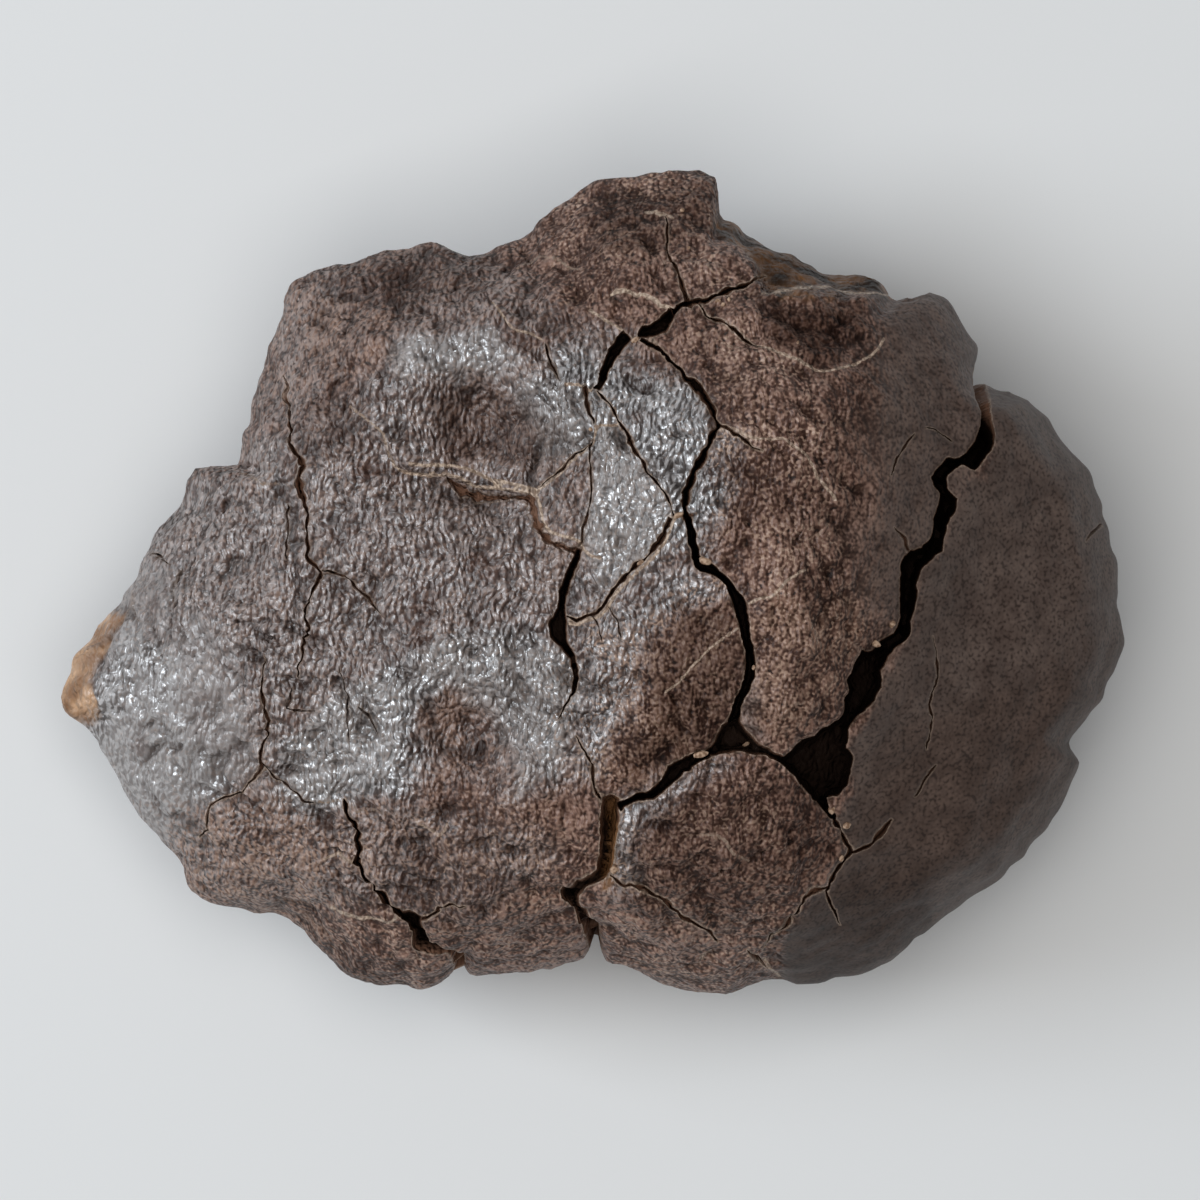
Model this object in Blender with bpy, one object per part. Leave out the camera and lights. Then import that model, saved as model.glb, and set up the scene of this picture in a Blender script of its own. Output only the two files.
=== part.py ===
# Chondrite meteorite: one cracked, weathered stone that rests on a small flat spot.
# X runs along the stone's length, Y across it, Z up. The origin is on the resting surface, below the
# middle of the stone's box. The upper side was surveyed on a photograph that looks straight down on it.
import math

import bmesh
import bpy
import numpy as np
from mathutils import Vector, noise

# Driving dimensions, in metres
LENGTH = 0.1066            # from the broken tip at -X to the slab's edge at +X
REST_RADIUS = 0.0165       # mean radius of the flat spot that the stone rests on
REST_CENTRE = (0.003, -0.0025)
DOME_ROUNDNESS = 5.0       # how softly the spot heights below blend into each other, mm
EDGE_BAND = 0.2            # share of the way to the rim in which the outline's small notches show
FINE_LEVEL = 7             # icosphere subdivision before the surface is thinned out
FACETS = 5600              # triangles of the stone before its cracks are cut
FOOT_SHARE = 0.25          # a crack's width at its foot, as a share of that at its lips
CUT_ABOVE = 0.0025         # how far a crack's cutter stands above the surface

# The survey's own frame: photo pixels, x to the right and y down
PHOTO_LENGTH = 1066.0
PHOTO_MIDDLE = (594.0, 582.5)
PHOTO_HUB = (620.0, 590.0)   # the outline is seen from here as one distance for each direction
MM = 0.001
PIXEL = LENGTH / PHOTO_LENGTH

# Silhouette from above, clockwise from the broken tip
OUTLINE = [
    (61, 692), (64, 681), (73, 660), (91, 644), (104, 619), (120, 602), (121, 594), (137, 575),
    (148, 550), (160, 528), (182, 508), (190, 478), (200, 465), (213, 463), (227, 472), (238, 470),
    (243, 430), (250, 406), (264, 368), (273, 340), (285, 312), (289, 294), (304, 281), (320, 272),
    (350, 265), (370, 255), (406, 249), (439, 241), (447, 253), (467, 256), (494, 245), (522, 237),
    (538, 221), (554, 208), (574, 194), (602, 181), (634, 176), (668, 172), (702, 175), (718, 184),
    (721, 197), (714, 217), (738, 230), (762, 247), (788, 256), (808, 267), (834, 277), (851, 275),
    (874, 278), (886, 291), (903, 308), (912, 299), (926, 290), (944, 297), (958, 315), (978, 345),
    (977, 361), (984, 380), (998, 391), (1005, 398), (1019, 391), (1040, 408), (1054, 428),
    (1069, 450), (1090, 470), (1101, 510), (1098, 514), (1108, 540), (1114, 559), (1118, 597),
    (1123, 628), (1127, 641), (1116, 677), (1108, 694), (1094, 710), (1073, 738), (1071, 750),
    (1084, 762), (1070, 790), (1050, 829), (1030, 849), (1024, 860), (1007, 874), (980, 890),
    (950, 913), (914, 938), (900, 957), (882, 967), (850, 978), (822, 983), (793, 985), (780, 980),
    (749, 985), (726, 994), (690, 989), (650, 974), (622, 963), (603, 959), (592, 945), (586, 957),
    (560, 966), (524, 974), (490, 976), (462, 975), (457, 969), (446, 983), (424, 990), (382, 988),
    (347, 980), (320, 951), (302, 928), (290, 919), (264, 912), (226, 908), (194, 895), (184, 880),
    (170, 846), (142, 820), (121, 787), (108, 758), (98, 740), (80, 723), (64, 712),
]

# The rim, where the upper side turns over into the underside: place, height in mm, and how many mm
# inwards the upper side is rounded
RIM = [
    (61, 692, 17, 9), (140, 560, 19, 8), (190, 470, 20, 6), (264, 368, 22, 7), (300, 280, 24, 6),
    (440, 241, 27, 6), (540, 220, 28, 7), (620, 178, 28, 8), (718, 190, 28, 5), (760, 247, 26, 3.5),
    (850, 275, 26, 3), (888, 300, 26, 3.5), (926, 290, 26, 5), (980, 360, 25, 4.5),
    (1040, 408, 23, 4), (1100, 510, 20, 4), (1123, 628, 18, 4.5), (1075, 735, 17, 4),
    (1050, 829, 17, 4.5), (960, 906, 17, 6), (850, 978, 16, 7), (700, 992, 17, 9), (600, 955, 18, 8),
    (450, 975, 17, 8), (340, 974, 16, 8), (260, 912, 16, 7), (184, 880, 16, 6.5), (120, 787, 16, 8),
]

# Spot heights of the upper side in mm, by region
SPOTS = [
    # left lobe, from its tip inwards
    (80, 690, 22), (130, 620, 26), (120, 760, 24), (180, 540, 27), (220, 490, 28.5), (200, 650, 31),
    (200, 750, 29.5), (180, 830, 25), (280, 560, 34), (280, 650, 35.5), (280, 750, 33),
    (260, 850, 28), (350, 700, 38), (380, 640, 39), (360, 770, 36), (330, 520, 37),
    # brown band along the upper left edge
    (300, 330, 30), (350, 290, 30.5), (400, 270, 31), (270, 420, 32), (340, 400, 36), (320, 370, 34),
    (380, 340, 36.5), (450, 300, 35.5), (500, 290, 37),
    # first thumbprint and the rim around it
    (400, 355, 38.5), (450, 342, 39.5), (500, 352, 41), (540, 375, 43), (490, 415, 37.4),
    (450, 430, 37.8), (530, 430, 41.5), (560, 450, 44), (400, 430, 39), (360, 430, 38),
    # middle, with the second thumbprint at 465, 725
    (420, 540, 40.5), (470, 600, 42), (520, 620, 43.5), (430, 680, 41.5), (465, 725, 38.3),
    (510, 690, 43.5), (500, 775, 41.5), (420, 760, 39.5), (540, 745, 43.8), (560, 690, 44.8),
    # crest
    (620, 440, 46.8), (650, 500, 48.3), (640, 570, 47.8), (600, 650, 46.2), (640, 700, 47),
    (620, 760, 45.2), (580, 820, 42), (700, 450, 49.6), (700, 600, 49.4), (760, 500, 50.6),
    (780, 600, 50.4), (700, 680, 48.2),
    # brown shoulder to the right of the crest
    (760, 380, 48), (800, 450, 50), (840, 520, 48.8), (860, 430, 47.2), (820, 650, 48.2),
    (800, 720, 46.8),
    # top lobe
    (620, 210, 33), (690, 210, 33.5), (600, 260, 37), (660, 280, 39.5), (560, 250, 34),
    (540, 290, 37.5), (600, 340, 42), (650, 370, 45), (700, 340, 44.5), (720, 280, 40.5),
    # upper right block
    (780, 310, 43), (840, 320, 41.5), (900, 330, 38), (940, 340, 35.5), (900, 400, 43),
    (950, 400, 38.5), (900, 480, 44.2), (880, 560, 46), (930, 450, 41.5),
    # slab at the right
    (1000, 420, 35.5), (960, 520, 39), (1040, 480, 33.5), (1080, 540, 30.2), (930, 620, 40),
    (1000, 600, 36), (1060, 620, 32), (1100, 640, 28.5), (900, 720, 40), (960, 720, 36.5),
    (1040, 720, 31), (880, 800, 38), (940, 820, 34), (1020, 800, 29.5), (860, 890, 33.5),
    (920, 880, 31), (850, 950, 28),
    # lower block
    (700, 790, 45), (640, 830, 43), (760, 800, 44.3), (700, 870, 41), (780, 880, 39.5),
    (660, 930, 35), (740, 950, 33), (800, 940, 32.5),
    # bottom left
    (540, 860, 39.5), (500, 900, 36), (450, 850, 37.3), (400, 820, 36.5), (350, 850, 33),
    (400, 920, 31), (540, 940, 31.5), (300, 890, 27), (350, 940, 26.5),
]

# Ledges: the surface stands higher to the left of the path, seen along it, by so many mm beside it,
# and the difference fades over so many mm
LEDGES = [
    ([(530, 548), (533, 520), (530, 497), (480, 486), (440, 476), (400, 468), (388, 446),
      (366, 420)], -1.6, 11),
    ([(712, 222), (736, 246), (754, 266), (764, 290), (810, 293), (850, 298), (876, 300),
      (892, 306)], -3.6, 9),
    ([(980, 380), (980, 440), (940, 480), (940, 530), (906, 580), (900, 640), (862, 700),
      (840, 780)], 0.9, 9),
]

# Gaping cracks: places along the crack, each with its left and right lip, and the depth in mm
GAPS = {
    "slab_crack": (10, [
        (973, 366, 983, 366), (974, 384, 987, 384), (977, 404, 990, 402), (977, 426, 990, 430),
        (969, 445, 987, 450), (956, 458, 972, 470), (941, 460, 953, 470), (929, 478, 944, 480),
        (934, 502, 952, 502), (927, 534, 942, 536), (918, 547, 938, 553), (902, 555, 922, 564),
        (897, 580, 915, 580), (897, 614, 914, 610), (889, 632, 906, 634), (876, 645, 891, 650),
        (861, 650, 885, 660), (848, 672, 880, 674), (845, 694, 875, 694), (838, 718, 856, 718),
        (806, 736, 848, 736), (785, 755, 852, 754), (796, 779, 850, 778), (811, 796, 840, 791),
        (827, 812, 831, 806),
    ]),
    "saddle_hole": (6, [
        (684, 296, 688, 294), (668, 312, 680, 312), (655, 326, 668, 332), (636, 338, 648, 345),
        (621, 340, 632, 347), (606, 362, 617, 364), (599, 380, 606, 384), (594, 392, 599, 395),
    ]),
    "middle_hole": (5, [
        (578, 548, 583, 552), (571, 566, 577, 570), (560, 592, 568, 596), (552, 618, 567, 618),
        (553, 636, 568, 634), (569, 658, 576, 656), (573, 684, 578, 682), (560, 716, 563, 718),
    ]),
    "rusty_hole": (6, [
        (603, 796, 619, 798), (602, 822, 618, 824), (599, 850, 614, 852), (593, 872, 607, 876),
        (570, 882, 580, 892), (568, 898, 580, 896), (578, 918, 590, 910), (590, 938, 600, 932),
        (588, 972, 604, 972),
    ]),
    "bottom_hole": (6, [
        (394, 906, 400, 902), (406, 922, 418, 916), (411, 938, 426, 936), (428, 950, 442, 946),
        (448, 962, 458, 954), (452, 984, 464, 984),
    ]),
}

# Narrow cracks: places along the crack, each with its width, and the depth in mm
CRACKS = {
    "plate_left": (6, [
        (717, 430, 5), (702, 456, 6), (691, 478, 7), (686, 512, 6), (690, 534, 8), (698, 562, 9),
        (712, 570, 12), (729, 588, 13), (739, 606, 14), (744, 640, 13), (750, 660, 12),
        (744, 686, 12), (735, 706, 14), (724, 728, 12),
    ]),
    "plate_top": (3.5, [
        (645, 345, 5), (668, 357, 7), (684, 374, 7), (702, 400, 7), (716, 424, 5), (730, 437, 5),
        (756, 448, 4),
    ]),
    "lower_block_top": (6, [
        (618, 800, 8), (640, 796, 8), (664, 780, 9), (684, 763, 12), (704, 752, 12), (724, 738, 14),
        (754, 748, 14), (786, 764, 12),
    ]),
    "saddle_right": (3, [(682, 298, 6), (704, 304, 6), (726, 294, 6), (750, 283, 5), (768, 277, 4)]),
    "plate_crack": (3, [(696, 303, 4), (714, 320, 4), (740, 336, 4), (768, 350, 3), (812, 369, 3)]),
    "saddle_up": (2.5, [(667, 232, 3), (669, 262, 4), (680, 290, 5)]),
    "vein_crack": (3, [
        (596, 392, 3), (614, 418, 4), (630, 444, 4), (652, 480, 4), (670, 512, 4), (660, 540, 5),
        (636, 564, 5), (612, 590, 5), (596, 612, 4), (570, 620, 4),
    ]),
    "scarp_crack": (2.5, [(452, 482, 8), (470, 494, 9), (500, 497, 8), (528, 500, 8), (536, 522, 8),
                          (556, 542, 8), (580, 550, 6)]),
    "left_crack": (2.5, [
        (285, 384, 3), (292, 440, 4), (304, 470, 6), (303, 496, 6), (312, 540, 4), (320, 574, 4),
        (309, 612, 4), (302, 672, 3),
    ]),
    "lobe_crack": (2, [(264, 660, 3), (267, 710, 4), (265, 766, 4), (242, 792, 4), (214, 804, 3)]),
    "bottom_crack": (3, [(350, 804, 4), (362, 836, 6), (368, 872, 6), (384, 896, 7), (402, 916, 9)]),
    "slab_foot": (3, [(828, 812, 6), (842, 832, 5), (848, 850, 5), (832, 878, 5), (828, 900, 4),
                      (838, 922, 3)]),
    "slab_branch": (2.5, [(888, 822, 4), (874, 840, 5), (850, 850, 4)]),
    "ledge_foot": (2, [(622, 880, 4), (662, 897, 5), (686, 917, 5), (708, 930, 4), (720, 944, 3)]),
}

STONE_COLOUR = (0.072, 0.057, 0.050, 1.0)   # dark brown-grey crust


def to_metres(px, py):
    # photo pixels to metres in the stone's frame
    return (px - PHOTO_MIDDLE[0]) * PIXEL, (PHOTO_MIDDLE[1] - py) * PIXEL


HUB = to_metres(*PHOTO_HUB)


def polar(places):
    # places as directions from the hub, in rising order, with their distances and their row numbers
    rows = []
    for number, place in enumerate(places):
        x, y = to_metres(place[0], place[1])
        angle = math.atan2(y - HUB[1], x - HUB[0])
        rows.append((angle, math.hypot(x - HUB[0], y - HUB[1]), number))
    rows.sort()
    return rows


def around(angle, rows, values):
    # a value given at some directions, read at any direction
    known = np.array([row[0] for row in rows])
    return np.interp(angle, known, np.array(values), period=2 * math.pi)


OUTLINE_ROWS = polar(OUTLINE)
RIM_ROWS = polar(RIM)


def reach(angle):
    # the outline, with its undercut corners eased over a degree or two
    distances = [row[1] for row in OUTLINE_ROWS]
    steps = np.radians(np.arange(-0.8, 0.9, 0.4))
    return sum(around(angle + step, OUTLINE_ROWS, distances) for step in steps) / len(steps)


def calm_reach(angle):
    # the outline without its notches and small knobs
    steps = np.radians(np.arange(-10.0, 11.0, 2.0))
    return sum(reach(angle + step) for step in steps) / len(steps)


def span_of(share, angle):
    # share runs from 0 at the hub to 1 at the rim, and the notches are felt only close to the rim
    calm = calm_reach(angle)
    return share * calm + (reach(angle) - calm) * smooth((share - 1.0 + EDGE_BAND) / EDGE_BAND)


def share_of(span, angle):
    # the inverse of span_of, by halving the interval
    low = np.zeros(np.shape(span))
    high = np.ones(np.shape(span))
    for _ in range(24):
        middle = (low + high) / 2
        short = span_of(middle, angle) < span
        low = np.where(short, middle, low)
        high = np.where(short, high, middle)
    return (low + high) / 2


def rim_height(angle):
    return around(angle, RIM_ROWS, [RIM[row[2]][2] * MM for row in RIM_ROWS])


def rim_rounding(angle):
    return around(angle, RIM_ROWS, [RIM[row[2]][3] * MM for row in RIM_ROWS])


def blend_weights():
    # weights of a smooth surface through all the spot heights
    spots = np.array([(*to_metres(px, py), height * MM) for px, py, height in SPOTS])
    gap = spots[:, None, :2] - spots[None, :, :2]
    kernel = np.sqrt((gap ** 2).sum(axis=2) + (DOME_ROUNDNESS * MM) ** 2)
    count = len(spots)
    system = np.zeros((count + 3, count + 3))
    system[:count, :count] = kernel
    system[:count, count] = 1.0
    system[:count, count + 1:] = spots[:, :2]
    system[count:, :count] = system[:count, count:].T
    answer = np.zeros(count + 3)
    answer[:count] = spots[:, 2]
    return spots, np.linalg.solve(system, answer)


SPOT_PLACES, SPOT_WEIGHTS = blend_weights()


def spot_surface(x, y):
    height = SPOT_WEIGHTS[-3] + SPOT_WEIGHTS[-2] * x + SPOT_WEIGHTS[-1] * y
    for place, weight in zip(SPOT_PLACES, SPOT_WEIGHTS):
        span = np.sqrt((x - place[0]) ** 2 + (y - place[1]) ** 2 + (DOME_ROUNDNESS * MM) ** 2)
        height = height + weight * span
    return height


def beside_path(x, y, path):
    # distance to the nearest point of a path, positive to the left of it, and how far along it is, 0 to 1
    corners = np.array([to_metres(px, py) for px, py in path])
    runs = np.hypot(*(corners[1:] - corners[:-1]).T)
    started = np.concatenate([[0.0], np.cumsum(runs)])
    best = np.full(np.shape(x), 1.0)
    side = np.zeros(np.shape(x))
    along = np.zeros(np.shape(x))
    for corner, after, run, start in zip(corners[:-1], corners[1:], runs, started):
        step = (after - corner) / run
        part = np.clip((x - corner[0]) * step[0] + (y - corner[1]) * step[1], 0.0, run)
        off_x = x - corner[0] - step[0] * part
        off_y = y - corner[1] - step[1] * part
        span = np.hypot(off_x, off_y)
        nearer = span < best
        best = np.where(nearer, span, best)
        side = np.where(nearer, np.sign(step[0] * off_y - step[1] * off_x), side)
        along = np.where(nearer, (start + part) / started[-1], along)
    return best * side, along


def smooth(value):
    value = np.clip(value, 0.0, 1.0)
    return value * value * (3.0 - 2.0 * value)


def ledge_height(x, y):
    total = np.zeros(np.shape(x))
    for path, height, fade in LEDGES:
        span, along = beside_path(x, y, path)
        ends = smooth(along / 0.15) * smooth((1.0 - along) / 0.15)
        left = smooth(0.5 + span / (1.2 * MM))
        total += height * MM * ends * left * (1.0 - smooth(np.abs(span) / (fade * MM)))
    return total


def upper_height(x, y, angle, share):
    rim = rim_height(angle)
    inwards = np.clip((1.0 - share) * reach(angle) / rim_rounding(angle), 0.0, 1.0)
    rounding = np.sqrt(1.0 - (1.0 - inwards) ** 2)
    return rim + (spot_surface(x, y) + ledge_height(x, y) - rim) * rounding


def rest_reach(angle):
    # the flat spot is a rounded, slightly three-cornered patch
    return REST_RADIUS * (1.0 + 0.14 * np.cos(3.0 * angle + 0.6) + 0.08 * np.cos(2.0 * angle - 1.0))


def lower_height(x, y, angle):
    from_rest = np.hypot(x - REST_CENTRE[0], y - REST_CENTRE[1])
    turn = np.arctan2(y - REST_CENTRE[1], x - REST_CENTRE[0])
    rest = rest_reach(turn)
    hub_span = np.hypot(x - HUB[0], y - HUB[1])
    room = from_rest + np.maximum(reach(angle) - hub_span, 0.0)
    outwards = np.clip((from_rest - rest) / np.maximum(room - rest, 1e-6), 0.0, 1.0)
    # a high power is a full belly, a low one a slanting broken face
    belly = 2.3 + 0.5 * np.cos(2.0 * turn + 0.8) + 0.35 * np.cos(3.0 * turn - 0.9)
    belly = belly + 0.3 * np.cos(5.0 * turn)
    return rim_height(angle) * (1.0 - (1.0 - outwards ** belly) ** 0.62), outwards


def lumps(place, below):
    # relief along the surface's normal, in metres: lumps and blunt knobs all over, and thumbprints and
    # hollow broken faces on the sides and the underside, where below rises from 0 to 1
    spot = Vector(place)
    broad = noise.fractal(spot / (14 * MM), 1.0, 2.0, 3)
    knobs = noise.noise(spot / (3.6 * MM) + Vector((7.3, 1.9, 4.1)))
    relief = 0.6 * broad + 0.2 * knobs
    if below > 0.0:
        faces = noise.noise(spot / (19 * MM) + Vector((2.2, 5.1, 8.7)))
        nearest = noise.voronoi(spot / (11 * MM))[0][0]
        thumb = max(0.0, 1.0 - nearest / 0.5)
        relief += below * (1.5 * min(faces - 0.1, 0.1) * 2.0 - 1.1 * thumb * thumb)
    return relief * MM


def stone_mesh():
    # a fine icosphere, each point of which is moved to its place on the stone
    shape = bmesh.new()
    bmesh.ops.create_icosphere(shape, subdivisions=FINE_LEVEL, radius=1.0)
    balls = np.array([vert.co[:] for vert in shape.verts])
    angle = np.arctan2(balls[:, 1], balls[:, 0])
    share = np.clip(np.hypot(balls[:, 0], balls[:, 1]), 0.0, 1.0)
    span = span_of(share, angle)
    x = HUB[0] + span * np.cos(angle)
    y = HUB[1] + span * np.sin(angle)
    low, outwards = lower_height(x, y, angle)
    upper = balls[:, 2] >= 0.0
    z = np.where(upper, upper_height(x, y, angle, share), low)
    free = np.where(upper, 1.0, smooth(outwards / 0.3))
    below = smooth((0.1 - balls[:, 2]) / 0.35)
    for number, vert in enumerate(shape.verts):
        place = (x[number], y[number], z[number])
        push = lumps(place, below[number]) * free[number]
        vert.co = Vector(place) + Vector(balls[number]) * push
        if not upper[number]:
            vert.co.z = max(vert.co.z, 0.0)
    mesh = bpy.data.meshes.new("stone")
    shape.to_mesh(mesh)
    shape.free()
    return mesh


def surface_height(x, y):
    angle = np.arctan2(y - HUB[1], x - HUB[0])
    share = share_of(np.hypot(x - HUB[0], y - HUB[1]), angle)
    return float(upper_height(x, y, angle, share))


def crack_cutter(name, depth, stations, collection):
    # a wedge along the crack: as wide as the crack at the surface, narrow at its foot, closed at both ends
    shape = bmesh.new()
    rings = []
    for left, right in stations:
        middle = (left + right) / 2
        top = surface_height(middle.x, middle.y)
        corners = []
        for lip, lift in ((left, CUT_ABOVE), (right, CUT_ABOVE), (right, -depth), (left, -depth)):
            flat = middle + (lip - middle) * (1.0 + (1.0 - FOOT_SHARE) * lift / depth)
            corners.append(shape.verts.new((flat.x, flat.y, top + lift)))
        rings.append(corners)
    for ring, after in zip(rings[:-1], rings[1:]):
        for number in range(4):
            nearby = (number + 1) % 4
            shape.faces.new((ring[number], ring[nearby], after[nearby], after[number]))
    shape.faces.new(rings[0][::-1])
    shape.faces.new(rings[-1])
    bmesh.ops.triangulate(shape, faces=shape.faces[:])
    bmesh.ops.recalc_face_normals(shape, faces=shape.faces[:])
    mesh = bpy.data.meshes.new(name)
    shape.to_mesh(mesh)
    shape.free()
    cutter = bpy.data.objects.new(name, mesh)
    cutter.hide_render = True
    cutter.display_type = "WIRE"
    collection.objects.link(cutter)
    return cutter


def gap_stations(rows):
    # both lips are given
    stations = []
    for left_x, left_y, right_x, right_y in rows:
        left = Vector(to_metres(left_x, left_y))
        right = Vector(to_metres(right_x, right_y))
        stations.append((left, right))
    return stations


def crack_stations(rows):
    # the middle and the width are given, so the lips lie square to the crack's course
    middles = [Vector(to_metres(px, py)) for px, py, width in rows]
    stations = []
    for number, (px, py, width) in enumerate(rows):
        before = middles[max(number - 1, 0)]
        after = middles[min(number + 1, len(rows) - 1)]
        course = (after - before).normalized()
        aside = Vector((-course.y, course.x)) * (width * PIXEL / 2)
        stations.append((middles[number] + aside, middles[number] - aside))
    return stations


def stone_material():
    material = bpy.data.materials.new("weathered_crust")
    material.use_nodes = True
    shader = material.node_tree.nodes["Principled BSDF"]
    shader.inputs["Base Color"].default_value = STONE_COLOUR
    shader.inputs["Roughness"].default_value = 0.6
    shader.inputs["Metallic"].default_value = 0.0
    return material


def main():
    for old in list(bpy.data.objects):
        bpy.data.objects.remove(old)
    model = bpy.data.collections.new("chondrite_meteorite")
    cutters = bpy.data.collections.new("crack_cutters")
    bpy.context.scene.collection.children.link(model)
    bpy.context.scene.collection.children.link(cutters)

    stone = bpy.data.objects.new("stone", stone_mesh())
    stone.data.materials.append(stone_material())
    model.objects.link(stone)
    thin = stone.modifiers.new("thin_out", "DECIMATE")
    thin.ratio = FACETS / len(stone.data.polygons)

    jobs = [(name, depth, gap_stations(rows)) for name, (depth, rows) in GAPS.items()]
    jobs += [(name, depth, crack_stations(rows)) for name, (depth, rows) in CRACKS.items()]
    for name, depth, stations in jobs:
        cutter = crack_cutter(name, depth * MM, stations, cutters)
        cut = stone.modifiers.new(name, "BOOLEAN")
        cut.operation = "DIFFERENCE"
        cut.solver = "EXACT"
        cut.object = cutter


main()
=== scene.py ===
import math

import bmesh
import bpy
import numpy as np
from mathutils import Matrix, Vector, kdtree, noise
from mathutils.bvhtree import BVHTree
from mathutils.geometry import delaunay_2d_cdt


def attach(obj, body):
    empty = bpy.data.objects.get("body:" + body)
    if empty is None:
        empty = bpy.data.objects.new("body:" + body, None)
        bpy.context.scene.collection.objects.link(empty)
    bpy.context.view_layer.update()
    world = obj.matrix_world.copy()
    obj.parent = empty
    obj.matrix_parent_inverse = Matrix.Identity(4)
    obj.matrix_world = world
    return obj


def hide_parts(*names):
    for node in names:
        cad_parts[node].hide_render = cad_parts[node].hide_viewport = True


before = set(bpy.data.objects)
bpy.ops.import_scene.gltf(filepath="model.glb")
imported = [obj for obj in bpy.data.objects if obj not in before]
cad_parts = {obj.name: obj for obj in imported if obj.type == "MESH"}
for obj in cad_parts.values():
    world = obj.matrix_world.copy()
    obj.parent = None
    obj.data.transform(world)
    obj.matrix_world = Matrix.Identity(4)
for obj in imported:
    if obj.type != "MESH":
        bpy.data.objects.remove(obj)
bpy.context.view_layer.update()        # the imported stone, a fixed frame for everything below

mm = 0.001
noise.seed_set(5)        # the vector noise would start from the clock otherwise

# The survey: places on the upper side are photo pixels, x to the right and y down, as seen from above
survey = dict(
    stoneLength=106.6 * mm,    # real length, tip to slab edge
    lengthPx=1066,             # the same on the photo
    middlePx=(594, 582.5),     # middle of the silhouette's box, where X and Y are 0
    hubPx=(620, 590),          # the silhouette is one distance for each direction from here
    edgeBand=0.2,              # share of the way to the rim where the silhouette's notches show
    overRim=12 * mm,           # a place so far outside the silhouette lies one radian down the side
)
pixel = survey["stoneLength"] / survey["lengthPx"]


def plan(px, py):
    # photo pixels to metres
    middleX, middleY = survey["middlePx"]
    return (np.asarray(px, float) - middleX) * pixel, (middleY - np.asarray(py, float)) * pixel


# silhouette, clockwise from the broken tip
silhouette = [
    (61, 692), (62, 686), (64, 681), (71, 674), (73, 660), (80, 650), (91, 644), (98, 630), (104, 619),
    (120, 602), (121, 594), (130, 584), (137, 575), (140, 560), (148, 550), (153, 538), (160, 528),
    (171, 516), (182, 508), (188, 492), (190, 478), (194, 471), (200, 465), (207, 462), (213, 463),
    (220, 470), (227, 472), (238, 470), (240, 460), (241, 440), (243, 430), (248, 421), (250, 406),
    (258, 390), (264, 368), (267, 351), (273, 340), (280, 326), (285, 312), (286, 300), (289, 294),
    (296, 286), (304, 281), (320, 272), (330, 268), (338, 265), (350, 265), (360, 261), (370, 255),
    (388, 250), (406, 249), (414, 245), (430, 242), (439, 241), (445, 248), (447, 253), (458, 253),
    (467, 256), (474, 253), (486, 250), (494, 245), (500, 242), (522, 237), (530, 231), (538, 221),
    (544, 214), (549, 213), (554, 208), (562, 204), (569, 199), (574, 194), (592, 184), (602, 181),
    (620, 178), (634, 176), (652, 173), (668, 172), (682, 171), (702, 175), (712, 179), (718, 184),
    (721, 190), (720, 198), (717, 206), (714, 212), (713, 217), (716, 222), (730, 225), (738, 230),
    (743, 237), (750, 241), (762, 247), (770, 251), (780, 255), (788, 256), (800, 264), (808, 267),
    (820, 274), (834, 277), (847, 277), (851, 275), (864, 275), (874, 278), (881, 283), (886, 291),
    (888, 300), (896, 304), (903, 308), (908, 307), (912, 299), (920, 291), (926, 290), (932, 292),
    (944, 297), (952, 304), (958, 315), (966, 328), (972, 338), (978, 345), (979, 350), (977, 361),
    (982, 368), (984, 380), (992, 385), (998, 391), (1005, 398), (1008, 397), (1015, 392), (1019, 391),
    (1028, 397), (1040, 408), (1049, 416), (1054, 428), (1062, 442), (1069, 450), (1080, 460),
    (1090, 470), (1093, 480), (1095, 490), (1099, 498), (1101, 510), (1098, 514), (1104, 521),
    (1108, 531), (1108, 540), (1109, 551), (1114, 559), (1116, 574), (1118, 597), (1116, 604),
    (1121, 615), (1123, 628), (1127, 641), (1126, 650), (1121, 667), (1116, 677), (1110, 683),
    (1108, 694), (1105, 701), (1094, 710), (1088, 720), (1080, 730), (1073, 738), (1071, 743),
    (1070, 750), (1074, 754), (1081, 757), (1084, 762), (1081, 770), (1075, 780), (1070, 790),
    (1064, 803), (1060, 811), (1053, 821), (1050, 829), (1045, 835), (1036, 841), (1030, 849),
    (1028, 857), (1024, 860), (1011, 867), (1007, 874), (1000, 880), (980, 890), (970, 896),
    (960, 906), (950, 913), (940, 921), (924, 934), (914, 938), (911, 945), (900, 957), (892, 964),
    (882, 967), (860, 976), (850, 978), (836, 978), (822, 983), (806, 985), (793, 985), (788, 981),
    (780, 980), (772, 983), (760, 983), (749, 985), (740, 991), (734, 994), (726, 994), (720, 992),
    (700, 992), (690, 989), (670, 982), (650, 974), (640, 969), (622, 963), (610, 963), (603, 959),
    (600, 950), (592, 945), (590, 950), (586, 957), (580, 960), (570, 961), (560, 966), (549, 970),
    (540, 970), (534, 973), (524, 974), (512, 973), (490, 976), (470, 978), (462, 975), (460, 969),
    (457, 971), (453, 971), (451, 979), (446, 983), (436, 986), (424, 990), (418, 991), (400, 988),
    (382, 988), (368, 986), (362, 984), (347, 980), (340, 974), (330, 963), (320, 951), (310, 938),
    (302, 928), (290, 919), (280, 914), (270, 910), (264, 912), (256, 914), (240, 910), (226, 908),
    (214, 905), (201, 901), (194, 895), (188, 890), (184, 880), (182, 866), (176, 852), (170, 846),
    (160, 836), (150, 827), (142, 820), (130, 801), (121, 787), (116, 776), (108, 758), (100, 748),
    (98, 740), (88, 730), (80, 723), (72, 719), (64, 712), (61, 706),
]

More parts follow.
